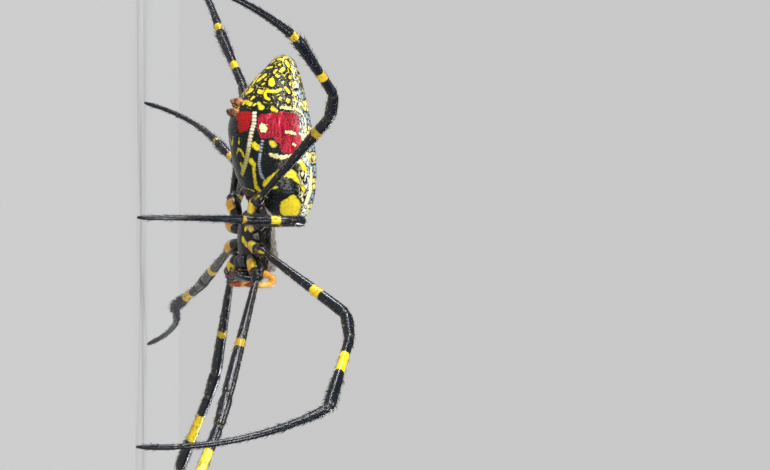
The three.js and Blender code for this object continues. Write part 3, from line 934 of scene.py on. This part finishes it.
class ORBWEAVER_OT_legs(bpy.types.Operator):
    """Draws each leg as one skin from coxa to foot, with its bands, claws and bristles"""

    bl_idname = "orbweaver.legs"
    bl_label = "Legs"

    def execute(self, context):
        cuticle = leg_material(context.scene.orb_weaver)
        coat, claws = [], []
        for index, name in enumerate(LEG_STANCE):
            points, radii, parts = leg_line(name)
            skin = add_leg(name, points, radii, parts)
            skin.data.materials.append(cuticle)
            coat.append(leg_hairs(index, points, radii, parts))
            claws += foot_claws(points)
        add_claws(claws, cuticle)
        hairs = tufts("leg_hair", *(np.concatenate(rows) for rows in zip(*coat)))
        hairs.data.transform(Matrix.Scale(MM, 4))
        hairs.data.materials.append(hair_material())
        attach(hairs, "root")
        return {"FINISHED"}


def leg_joints(name):
    """The joints of a leg from coxa to claw in the row's millimetres, and the way it heads."""
    side, number = 1 if name.startswith("left") else -1, int(name[-1]) - 1
    place, aim = COXA_PLACES[number]
    heading, *rises = (math.radians(angle) for angle in LEG_STANCE[name])
    to_row = Matrix.Scale(1 / MM, 4) @ BODY_FRAME
    aim = math.radians(aim)
    inner = Vector((side * COXA_INNER, place, COXA_HEIGHT))
    outer = inner + Vector((side * math.cos(aim), -math.sin(aim), 0)) * COXA_LENGTH
    level = Vector((side * math.sin(heading), -math.cos(heading), 0))
    joints = [to_row @ inner, to_row @ outer]
    for length, rise in zip(LEG_SIZES[number], rises):
        step = level * math.cos(rise) + Vector((0, 0, math.sin(rise)))
        joints.append(joints[-1] + step * length)
    ankle = joints[-1]
    reach = math.sqrt(LEG_SIZES[number][3] ** 2 - ankle.z**2)
    joints.append(Vector((ankle.x, ankle.y, 0)) + level * reach)
    return joints, level


def leg_line(name):
    """Points down the middle of a leg, its radii, and the part and share of each point."""
    joints, level = leg_joints(name)
    radius = LEG_SIZES[int(name[-1]) - 1][4]
    points, radii, parts = [], [], []
    for part, (start, end, shape) in enumerate(zip(joints, joints[1:], LEG_SHAPES)):
        chord = end - start
        count = round(chord.length / LEG_STEP)
        bow = Vector((0, 0, 0))
        if shape is FOOT_SHAPE:
            bow = chord.cross(level.cross(chord)).normalized() * 4 * FOOT_BOW * chord.length
        for share in np.arange(count + (shape is FOOT_SHAPE)) / count:
            points.append(start + chord * share + bow * share * (1 - share))
            radii.append(radius * np.interp(share, *zip(*shape)))
            parts.append((part, share))
    radii = smoothed(np.array(radii)[:, None], RADIUS_SPREAD)[:, 0]
    return smoothed(np.array(points), CORNER_SPREAD), radii, np.array(parts)


def add_leg(name, points, radii, parts):
    """The leg's skin. Each vertex keeps how far it lies inside a band, a joint and a patch."""
    skin = tube(f"leg_{name}_skin", points, radii, LEG_SIDES)
    places = vertex_places(skin)
    nearest = np.array([np.argmin(((points - place) ** 2).sum(1)) for place in places])
    part, share = parts[nearest].T
    lengths = np.array([COXA_LENGTH, *LEG_SIZES[int(name[-1]) - 1][:4]])[part.astype(int)]
    band, bright = np.full(len(places), -FAR), np.zeros(len(places))
    for which, first, last, light in LEG_BANDS[int(name[-1]) - 1]:
        inside = np.minimum(share - first, last - share) * lengths
        inside = np.where(part == which, inside, -FAR)
        bright = np.where(inside > -0.6, light, bright)
        band = np.maximum(band, inside)
    ends = np.minimum(share, 1 - share) * lengths
    set_attribute(skin, "band", band)
    set_attribute(skin, "bright", bright)
    set_attribute(skin, "joint", np.where((part == 4) & (share > 0.5), FAR, ends))
    set_attribute(skin, "patch", coxa_patch(places, points[nearest], part, share))
    places[:, 2] = np.maximum(places[:, 2], 0)
    set_places(skin, places)
    skin.data.transform(Matrix.Scale(MM, 4))
    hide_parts(*(f"leg_{name}_{part}" for part in ("coxa", "femur", "tibia", "foot")))
    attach(skin, "root")
    return skin


def foot_claws(points):
    """Three small hooks that leave the tip of a foot and bend to the floor."""
    tip = points[-1]
    ahead = unit((points[-1] - points[-5]) * (1, 1, 0))
    side = np.array((-ahead[1], ahead[0], 0))
    hooks = []
    for spread, length in CLAW_HOOKS:
        rows = []
        for share in np.linspace(0, 1, 9):
            rise = 0.1 + 0.16 * math.sin(math.pi * share) - 0.07 * share
            out = tip + ahead * (share * length - 0.12) + side * spread * (0.5 + share)
            rows.append((out[0], out[1], max(tip[2], 0) + rise))
        hooks.append(np.array(rows))
    return hooks


def add_claws(hooks, cuticle):
    pieces = [tube("claw", hook, np.linspace(*CLAW_RADII, len(hook)), 8) for hook in hooks]
    claws = joined("leg_claws", pieces)
    for name, value in (("band", -FAR), ("patch", -FAR), ("bright", 0), ("joint", FAR)):
        set_attribute(claws, name, np.full(len(claws.data.vertices), value))
    claws.data.transform(Matrix.Scale(MM, 4))
    claws.data.materials.append(cuticle)
    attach(claws, "root")


def coxa_patch(places, middles, part, share):
    """How far each place lies inside the pale patches under coxa and trochanter, in millimetres."""
    turn = np.array(BODY_FRAME.to_3x3().inverted() * MM)
    out = unit(places - middles + 1e-9) @ turn.T
    below = 0.72 - np.hypot(out[:, 0] * 0.4, out[:, 1]) - np.maximum(out[:, 2], 0) * 2
    ends = np.minimum(share - 0.3, 0.88 - share) * COXA_LENGTH
    ring = 0.34 - np.abs(share - 0.035) * 10
    beyond = np.minimum(ring, 0.3 - np.hypot(out[:, 1], out[:, 2] + 0.6))
    return np.choose(np.minimum(part, 2).astype(int), [np.minimum(below, ends), beyond, -FAR])


def leg_hairs(index, points, radii, parts):
    """Roots, leans and sizes of a leg's bristles, which stand thickest in the tibia's brush."""
    draw = np.random.default_rng(SEED + index)
    part, share = parts.T
    brushes = (part == 3) & (share > BRUSH_START)
    weight = np.choose(part.astype(int), BRISTLE_DENSITY)
    weight = weight + 1.6 * brushes + 0.7 * ((part == 4) & (share < 0.35))
    count = len(points) * BRISTLES_PER_RING
    at = draw.choice(len(points) - 6, count, p=weight[:-6] / weight[:-6].sum())
    ahead = unit(points[at + 2] - points[np.maximum(at - 2, 0)])
    side = unit(np.cross(ahead, (0.2, 0.3, 0.93)))
    turn = draw.uniform(0, 2 * math.pi, count)[:, None]
    out = side * np.cos(turn) + np.cross(ahead, side) * np.sin(turn)
    roots = points[at] + out * radii[at, None] * 0.93
    brush = brushes[at]
    lean = draw.uniform(0.45, 1.0, count) + 0.25 * brush
    leans = unit(out * lean[:, None] + ahead)
    lengths = draw.uniform(*BRISTLE_LENGTHS, count) * (1 + 0.25 * brush)
    lengths = lengths * np.where(part[at] == 0, 0.6, 1.0)
    leans[:, 2] = np.where(roots[:, 2] < 0.8, np.maximum(leans[:, 2], 0.15), leans[:, 2])
    tones = draw.random(count) * np.where((part[at] == 1) | (part[at] == 2), 1.0, 0.6)
    along = at / len(points)
    unwrap = np.column_stack([(index + turn[:, 0] / (2 * math.pi)) / 8, along]) * 0.98 + 0.005
    return roots, leans, ahead, lengths, draw.uniform(*BRISTLE_WIDTHS, count), unwrap, tones


def leg_material(colours):
    paint = Paint("leg_cuticle_polished")
    place = paint.millimetres()
    wobble = paint.scaled(paint.noise(place, 2.2, 3), 0.34, -0.17)
    blotch = paint.noise(place, 0.9, 3)
    black = paint.mix(blotch, colours.black, (0.004, 0.006, 0.013))
    membrane = paint.below(paint.attribute("joint"), 0.09, 0.06)
    black = paint.mix(paint.times(membrane, 0.6), black, (0.06, 0.045, 0.03))
    dull = paint.mix(blotch, (0.16, 0.075, 0.01), (0.34, 0.16, 0.02))
    vivid = paint.mix(paint.edge(blotch, 0.56, 0.2), colours.yellow, (0.88, 0.46, 0.015))
    bands = paint.mix(paint.attribute("bright"), dull, vivid)
    inside = paint.edge(paint.add(paint.attribute("band"), wobble), 0, 0.07)
    sockets = paint.below(paint.cells(place, 3.2), 0.14, 0.05)
    bands = paint.mix(paint.times(sockets, 0.55), bands, (0.1, 0.05, 0.01))
    colour = paint.mix(inside, black, bands)
    patch = paint.edge(paint.add(paint.attribute("patch"), wobble), 0, 0.1)
    pale = paint.mix(paint.edge(blotch, 0.5, 0.15), colours.yellow, (0.78, 0.34, 0.02))
    colour = paint.mix(patch, colour, pale)
    rough = paint.scaled(paint.noise(place, 2.5, 4), 0.2, 0.1)
    paint.surface(
        Base_Color=colour, Roughness=rough, Specular_IOR_Level=0.4, Coat_Weight=0.2,
        Coat_Roughness=0.08,
    )
    paint.bump(paint.scaled(sockets, -0.5, paint.noise(place, 6, 3)), 0.04)
    return paint.material


def hair_material():
    paint = Paint("bristle")
    tone = paint.attribute("tone")
    colour = paint.mix(paint.edge(tone, 0.66, 0.08), (0.012, 0.011, 0.012), (0.66, 0.5, 0.22))
    paint.surface(Base_Color=colour, Roughness=0.4)
    return paint.material


class ORBWEAVER_OT_cephalothorax(bpy.types.Operator):
    """Grows one skin over carapace, sternum and pedicel, with its grooves, and adds the eyes"""

    bl_idname = "orbweaver.cephalothorax"
    bl_label = "Cephalothorax"

    def execute(self, context):
        skin = body_copy("cephalothorax", "cephalothorax_skin")
        apply_modifier(skin, "REMESH", mode="VOXEL", voxel_size=0.11)
        apply_modifier(skin, "SMOOTH", factor=0.6, iterations=4)
        carve_cephalothorax(skin)
        bpy.ops.object.shade_smooth()
        skin.data.transform(BODY_FRAME)
        skin.data.materials.append(carapace_material(context.scene.orb_weaver))
        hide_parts("cephalothorax")
        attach(skin, "root")
        add_eyes()
        return {"FINISHED"}


def body_copy(node, name):
    """A new object with a merged copy of a CAD node's mesh, in the body's millimetres."""
    mesh = bpy.data.objects[node].data.copy()
    mesh.name = name
    mesh.materials.clear()
    mesh.transform(BODY_FRAME.inverted())
    piece = bpy.data.objects.new(name, mesh)
    bpy.context.scene.collection.objects.link(piece)
    select_only(piece)
    bpy.ops.object.mode_set(mode="EDIT")
    bpy.ops.mesh.select_all(action="SELECT")
    bpy.ops.mesh.remove_doubles(threshold=1e-3)
    bpy.ops.object.mode_set(mode="OBJECT")
    return piece


def grooves():
    """The line of each groove of the carapace, from the fovea to its end on either side."""
    ends = [(side * x, y, 0) for x, y in GROOVE_ENDS for _, side in SIDES]
    return [[np.array((*FOVEA, 0)), np.array(end)] for end in ends]


def carve_cephalothorax(skin):
    """Presses in the fovea, its grooves and the sternum's rim, and keeps the markings."""
    places, normals = vertex_places(skin), vertex_normals(skin)
    level = places * (1, 1, 0)
    upper = np.clip(normals[:, 2] * 2, 0, 1)
    under = np.clip(-normals[:, 2] * 2, 0, 1)
    depth = np.zeros(len(places))
    for line in grooves():
        gap = np.maximum(stroke_distance(level, line, [0, 0]), 0)
        depth += GROOVE[0] * np.exp(-((gap / GROOVE[1]) ** 2))
    pit = np.linalg.norm((level - (*FOVEA, 0)) * (0.6, 1, 1), axis=1)
    depth = np.minimum(depth, DEEPEST_GROOVE) + PIT[0] * np.exp(-((pit / PIT[1]) ** 2))
    places -= normals * (depth * upper)[:, None]
    ends = [np.array((0, y, 0)) for y in STERNUM_ENDS]
    sternum = -stroke_distance(level, ends, STERNUM_HALVES)
    rim = np.exp(-(((sternum - 0.05) / STERNUM_RIM[1]) ** 2))
    places -= normals * (STERNUM_RIM[0] * rim * under)[:, None]
    marks = np.full(len(places), -FAR)
    for stroke in STERNUM_MARKS:
        for _, side in SIDES:
            points = [np.array((side * x, y, 0)) for x, y, _ in stroke]
            marks = np.maximum(marks, -stroke_distance(level, points, [s[2] for s in stroke]))
    set_places(skin, places)
    set_attribute(skin, "under", under)
    set_attribute(skin, "marks", marks)


def carapace_material(colours):
    paint = Paint("carapace_cuticle_and_down")
    place = paint.millimetres()
    grain = paint.noise(place, 2.2, 4)
    wobble = paint.scaled(grain, 0.3, -0.15)
    shell = paint.mix(paint.edge(grain, 0.5, 0.2), (0.018, 0.011, 0.008), (0.06, 0.034, 0.02))
    down = paint.edge(paint.noise(paint.millimetres((4, 1.2, 4)), 1.4, 3), 0.5, 0.12)
    shell = paint.mix(paint.times(down, 0.5), shell, (0.4, 0.37, 0.32))
    below = paint.mix(paint.edge(grain, 0.52, 0.1), (0.003, 0.004, 0.007), (0.016, 0.01, 0.006))
    strokes = paint.edge(paint.add(paint.attribute("marks"), wobble), 0, 0.05)
    below = paint.mix(strokes, below, colours.yellow)
    colour = paint.mix(paint.edge(paint.attribute("under"), 0.4, 0.2), shell, below)
    rough = paint.scaled(paint.attribute("under"), -0.34, 0.5)
    paint.surface(Base_Color=colour, Roughness=rough, Coat_Weight=0.15, Coat_Roughness=0.1)
    paint.bump(paint.noise(place, 4, 4), 0.12)
    return paint.material


def add_eyes():
    """Eight dark beads, each half sunk in its mound, with a painted sheen that lightens them
    towards the rim.
    """
    balls = []
    for x, y, z, radius in EYES:
        for _, side in SIDES:
            bpy.ops.mesh.primitive_uv_sphere_add(
                segments=28, ring_count=16, radius=radius * 1.02, location=(side * x, y, z)
            )
            balls.append(bpy.context.object)
            bpy.ops.object.transform_apply(location=True)
            bpy.ops.object.shade_smooth()
    eyes = joined("eyes", balls)
    eyes.data.transform(BODY_FRAME)
    paint = Paint("eye_lens")
    # Painted sheen: the lens colour turns lighter where its surface turns away from the view
    painted_rim_sheen = paint.node("ShaderNodeLayerWeight", {"Blend": 0.35}).outputs["Facing"]
    colour = paint.mix(painted_rim_sheen, (0.012, 0.008, 0.006), (0.05, 0.03, 0.02))
    paint.surface(Base_Color=colour, Roughness=0.04, Coat_Weight=1.0, Coat_Roughness=0.02)
    eyes.data.materials.append(paint.material)
    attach(eyes, "root")


class ORBWEAVER_OT_jaws(bpy.types.Operator):
    """Draws the chelicerae with their fangs, and the maxillae and labium behind them"""

    bl_idname = "orbweaver.jaws"
    bl_label = "Jaws"

    def execute(self, context):
        cuticle = jaw_material()
        downward = Matrix(((-1, 0, 0, 0), (0, 0, -1, 0), (0, -1, 0, 0), (0, 0, 0, 1)))
        for name, side in SIDES:
            jaw = loft("chelicera", CHELICERA_STATIONS, 32, 36)
            jaw.data.transform(Matrix.Translation((side * CHELICERA_ACROSS, 0, 0)) @ downward)
            points = [(side * (CHELICERA_ACROSS + x), y, z) for x, y, z in FANG_POINTS]
            line = fine_line(points, FANG_RADII, 30)
            fang = tube("fang", line[:, :3], line[:, 3], 12)
            joined(f"chelicera_{name}_skin", [fang, jaw])
            set_attribute(jaw, "down", -vertex_places(jaw)[:, 2])
            jaw.data.transform(BODY_FRAME)
            jaw.data.materials.append(cuticle)
            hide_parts(f"chelicera_{name}")
            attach(jaw, "root")
        add_mouthparts(cuticle)
        return {"FINISHED"}


def add_mouthparts(cuticle):
    """The two maxillae and the labium between them, before the sternum."""
    labium = loft("labium", LABIUM_STATIONS, 24, 16)
    lobes = []
    for _, side in SIDES:
        lobe = loft("maxilla", MAXILLA_STATIONS, 28, 20)
        turn = Matrix.Rotation(side * MAXILLA_TURN, 4, "Z")
        middle = Matrix.Translation((side * MAXILLA_ACROSS, MAXILLA_PIVOT, 0))
        lobe.data.transform(middle @ turn @ Matrix.Translation((0, -MAXILLA_PIVOT, 0)))
        lobes.append(lobe)
    joined("mouthparts", [*lobes, labium])
    set_attribute(labium, "down", np.zeros(len(labium.data.vertices)))
    labium.data.transform(BODY_FRAME)
    labium.data.materials.append(cuticle)
    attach(labium, "root")


def fine_line(points, radii, count):
    """Points and radii of a short limb, drawn finer along a smooth line."""
    shares = np.linspace(0, 1, len(points))
    keys = np.column_stack([shares, points, radii])
    return through(keys, np.linspace(0, 1, count))


def jaw_material():
    paint = Paint("jaw_cuticle_polished")
    place = paint.millimetres()
    low = paint.edge(paint.attribute("down"), 2.55, 0.2)
    colour = paint.mix(paint.noise(place, 1.2), (0.004, 0.006, 0.012), (0.01, 0.016, 0.034))
    colour = paint.mix(low, colour, (0.06, 0.01, 0.004))
    rough = paint.scaled(paint.noise(place, 3, 3), 0.15, 0.1)
    paint.surface(Base_Color=colour, Roughness=rough, Coat_Weight=0.6, Coat_Roughness=0.08)
    paint.bump(paint.noise(place, 6, 3), 0.04)
    return paint.material


class ORBWEAVER_OT_palps(bpy.types.Operator):
    """Draws the two orange palps with their darker tips"""

    bl_idname = "orbweaver.palps"
    bl_label = "Palps"

    def execute(self, context):
        cuticle = palp_material()
        shares = np.linspace(0, 1, 90)
        radii = np.interp(shares, *zip(*PALP_SHAPE))
        radii = smoothed(radii[:, None], RADIUS_SPREAD)[:, 0]
        for name, side in SIDES:
            points = [(side * x, y, z) for x, y, z in PALP_POINTS]
            line = fine_line(points, [1] * len(points), 90)[:, :3]
            skin = tube(f"palp_{name}_skin", line, radii, 20)
            places = vertex_places(skin)
            nearest = [np.argmin(((line - place) ** 2).sum(1)) for place in places]
            set_attribute(skin, "share", shares[nearest])
            skin.data.transform(BODY_FRAME)
            skin.data.materials.append(cuticle)
            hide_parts(f"palp_{name}")
            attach(skin, "root")
        return {"FINISHED"}


def palp_material():
    paint = Paint("palp_cuticle_orange")
    place = paint.millimetres()
    blotch = paint.noise(place, 1.8, 3)
    share = paint.add(paint.scaled(blotch, 0.1, paint.attribute("share")), -0.05)
    colour = paint.mix(blotch, (0.62, 0.22, 0.01), (0.85, 0.42, 0.03))
    colour = paint.mix(paint.edge(share, 0.58, 0.1), colour, (0.85, 0.55, 0.12))
    colour = paint.mix(paint.edge(share, 0.8, 0.07), colour, (0.3, 0.05, 0.012))
    rough = paint.scaled(paint.noise(place, 3, 3), 0.2, 0.25)
    paint.surface(
        Base_Color=colour, Roughness=rough, Coat_Weight=0.3, Subsurface_Weight=0.1,
        Subsurface_Scale=0.4 * MM,
    )
    paint.bump(paint.noise(place, 6, 3), 0.05)
    return paint.material


class ORBWEAVER_OT_spinnerets(bpy.types.Operator):
    """Draws the cluster of spinnerets under the abdomen"""

    bl_idname = "orbweaver.spinnerets"
    bl_label = "Spinnerets"

    def execute(self, context):
        along = np.array((0, math.sin(SPINNERET_LEAN), -math.cos(SPINNERET_LEAN)))
        shares = np.linspace(0, 1, 24)
        radii = np.interp(shares, *zip(*SPINNERET_SHAPE))
        cones = []
        for x, y, z, length, radius in SPINNERETS:
            for _, side in SIDES:
                points = np.array((side * x, y, z)) + np.outer(shares - 0.5, along * length)
                cones.append(tube("cone", points, radii * radius, 16))
        cluster = joined("spinnerets", cones)
        set_attribute(cluster, "down", -vertex_places(cluster)[:, 2])
        cluster.data.transform(BODY_FRAME)
        cluster.data.materials.append(spinneret_material())
        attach(cluster, "root")
        return {"FINISHED"}


def spinneret_material():
    paint = Paint("spinneret_cuticle")
    place = paint.millimetres()
    blotch = paint.edge(paint.noise(place, 1.8, 4), 0.5, 0.15)
    colour = paint.mix(blotch, (0.1, 0.02, 0.006), (0.55, 0.22, 0.04))
    tips = paint.edge(paint.attribute("down"), 2.6, 0.3)
    colour = paint.mix(tips, colour, (0.05, 0.02, 0.01))
    paint.surface(Base_Color=colour, Roughness=0.4, Coat_Weight=0.2)
    paint.bump(paint.noise(place, 7, 3), 0.06)
    return paint.material


class ORBWEAVER_OT_down(bpy.types.Operator):
    """Adds the silver down of the carapace and the short hairs of belly, jaws and palps"""

    bl_idname = "orbweaver.down"
    bl_label = "Down"

    def execute(self, context):
        for row in COATS:
            add_coat(*row)
        return {"FINISHED"}


def on_carapace(places, normals):
    """How thickly the down grows: over the back, but hardly in the grooves and round the eyes."""
    level = places * (1, 1, 0)
    gap = np.full(len(places), FAR)
    for line in grooves():
        gap = np.minimum(gap, stroke_distance(level, line, [0.1, 0.05]))
    for x, y, z, radius in EYES:
        for _, side in SIDES:
            gap = np.minimum(gap, np.linalg.norm(places - (side * x, y, z), axis=1) - radius * 1.3)
    bare = np.exp(-((np.maximum(gap, 0) / 0.18) ** 2))
    return np.clip(normals[:, 2] + 0.25, 0, 1) * (places[:, 1] < 2.6) * (1 - 0.93 * bare)


def on_sternum(places, normals):
    return np.clip(-normals[:, 2], 0, 1) * (places[:, 1] < 2.3)


def all_over(places, normals):
    return np.ones(len(places))


# Each coat: its name, slot, the skins that carry it, how many hairs, where they grow, which way
# they lie along the body, how far they stand up, their lengths and half width, and their colours
COATS = [
    ("carapace_down", "carapace_hair", ("cephalothorax_skin",), 5200, on_carapace, -1, 0.35,
     (0.14, 0.3), 0.013, (0.3, 0.28, 0.25), (0.72, 0.69, 0.62)),
    ("sternum_hair", "carapace_hair", ("cephalothorax_skin",), 380, on_sternum, -1, 1.0,
     (0.15, 0.3), 0.01, (0.02, 0.018, 0.016), (0.3, 0.24, 0.15)),
    ("abdomen_hair", "abdomen_skin", ("abdomen_skin",), 2200, all_over, 1, 0.9,
     (0.12, 0.26), 0.009, (0.015, 0.014, 0.01), (0.4, 0.34, 0.18)),
    ("jaw_hair", "jaw_cuticle", ("chelicera_left_skin", "chelicera_right_skin", "mouthparts"),
     420, all_over, -1, 1.2, (0.14, 0.34), 0.011, (0.015, 0.014, 0.014), (0.3, 0.2, 0.1)),
    ("palp_hair", "palp_cuticle", ("palp_left_skin", "palp_right_skin"), 620, all_over, -1, 1.4,
     (0.12, 0.3), 0.01, (0.08, 0.03, 0.01), (0.85, 0.6, 0.25)),
]


def add_coat(name, slot, skins, count, wanted, flow, rise, lengths, width, dark, light):
    """Hairs drawn at vertices of the skins, denser where wanted says so."""
    draw = np.random.default_rng(SEED + len(name))
    places, normals = [], []
    to_body = np.array(BODY_FRAME.inverted())
    turn = np.array(BODY_FRAME.to_3x3()) / MM
    for skin in (bpy.data.objects[skin] for skin in skins):
        places.append(vertex_places(skin) @ to_body[:3, :3].T + to_body[:3, 3])
        normals.append(vertex_normals(skin) @ turn)
    places, normals = np.concatenate(places), unit(np.concatenate(normals))
    weights = wanted(places, normals)
    at = draw.choice(len(places), count, p=weights / weights.sum())
    out = normals[at]
    ahead = np.array((0, flow, 0)) - out * out[:, 1:2] * flow
    ahead = ahead + np.cross(out, ahead) * draw.uniform(-0.5, 0.5, (count, 1)) + 1e-6
    roots = places[at] + np.cross(out, ahead) * draw.uniform(-0.09, 0.09, (count, 1)) - out * 0.02
    leans = unit(out * rise * draw.uniform(0.6, 1.4, (count, 1)) + unit(ahead))
    low, high = places.min(0), places.max(0)
    unwrap = (roots - low)[:, :2] / (high - low)[:2]
    unwrap[:, 0] = (unwrap[:, 0] + (out[:, 2] > 0)) * 0.49
    lengths = draw.uniform(*lengths, count)
    widths = np.full(count, width) * draw.uniform(0.8, 1.2, count)
    tones = draw.random(count)
    unwrap = unwrap * 0.98 + 0.005
    piece = tufts(name, roots, leans, unit(ahead), lengths, widths, unwrap, tones)
    piece.data.transform(BODY_FRAME)
    paint = Paint(name + "_strands")
    colour = paint.mix(paint.attribute("tone"), dark, light)
    paint.surface(Base_Color=colour, Roughness=0.45)
    piece.data.materials.append(paint.material)
    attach(piece, "root")


class ORBWEAVER_PT_pieces(bpy.types.Panel):
    """The sizes and colours of the finish, and a button for each piece"""

    bl_idname = "ORBWEAVER_PT_pieces"
    bl_label = "Orb Weaver"
    bl_space_type = "VIEW_3D"
    bl_region_type = "UI"
    bl_category = "Orb Weaver"

    def draw(self, context):
        settings = context.scene.orb_weaver
        for name in ("camera_distance", "camera_height", "view_width"):
            self.layout.prop(settings, name)
        for name in ("yellow", "cream", "red", "black"):
            self.layout.prop(settings, name)
        for piece in OPERATORS:
            self.layout.operator(piece.bl_idname)


OPERATORS = (
    ORBWEAVER_OT_stage,
    ORBWEAVER_OT_abdomen,
    ORBWEAVER_OT_spinnerets,
    ORBWEAVER_OT_cephalothorax,
    ORBWEAVER_OT_jaws,
    ORBWEAVER_OT_palps,
    ORBWEAVER_OT_legs,
    ORBWEAVER_OT_down,
)
CLASSES = (OrbWeaverSettings, *OPERATORS, ORBWEAVER_PT_pieces)


def register():
    for part in CLASSES:
        bpy.utils.register_class(part)
    bpy.types.Scene.orb_weaver = bpy.props.PointerProperty(type=OrbWeaverSettings)


def unregister():
    del bpy.types.Scene.orb_weaver
    for part in reversed(CLASSES):
        bpy.utils.unregister_class(part)


def main():
    register()
    bpy.ops.object.select_all(action="DESELECT")
    bpy.ops.orbweaver.stage()
    bpy.ops.orbweaver.abdomen()
    bpy.ops.orbweaver.spinnerets()
    bpy.ops.orbweaver.cephalothorax()
    bpy.ops.orbweaver.jaws()
    bpy.ops.orbweaver.palps()
    bpy.ops.orbweaver.legs()
    bpy.ops.orbweaver.down()


if __name__ == "__main__":
    main()
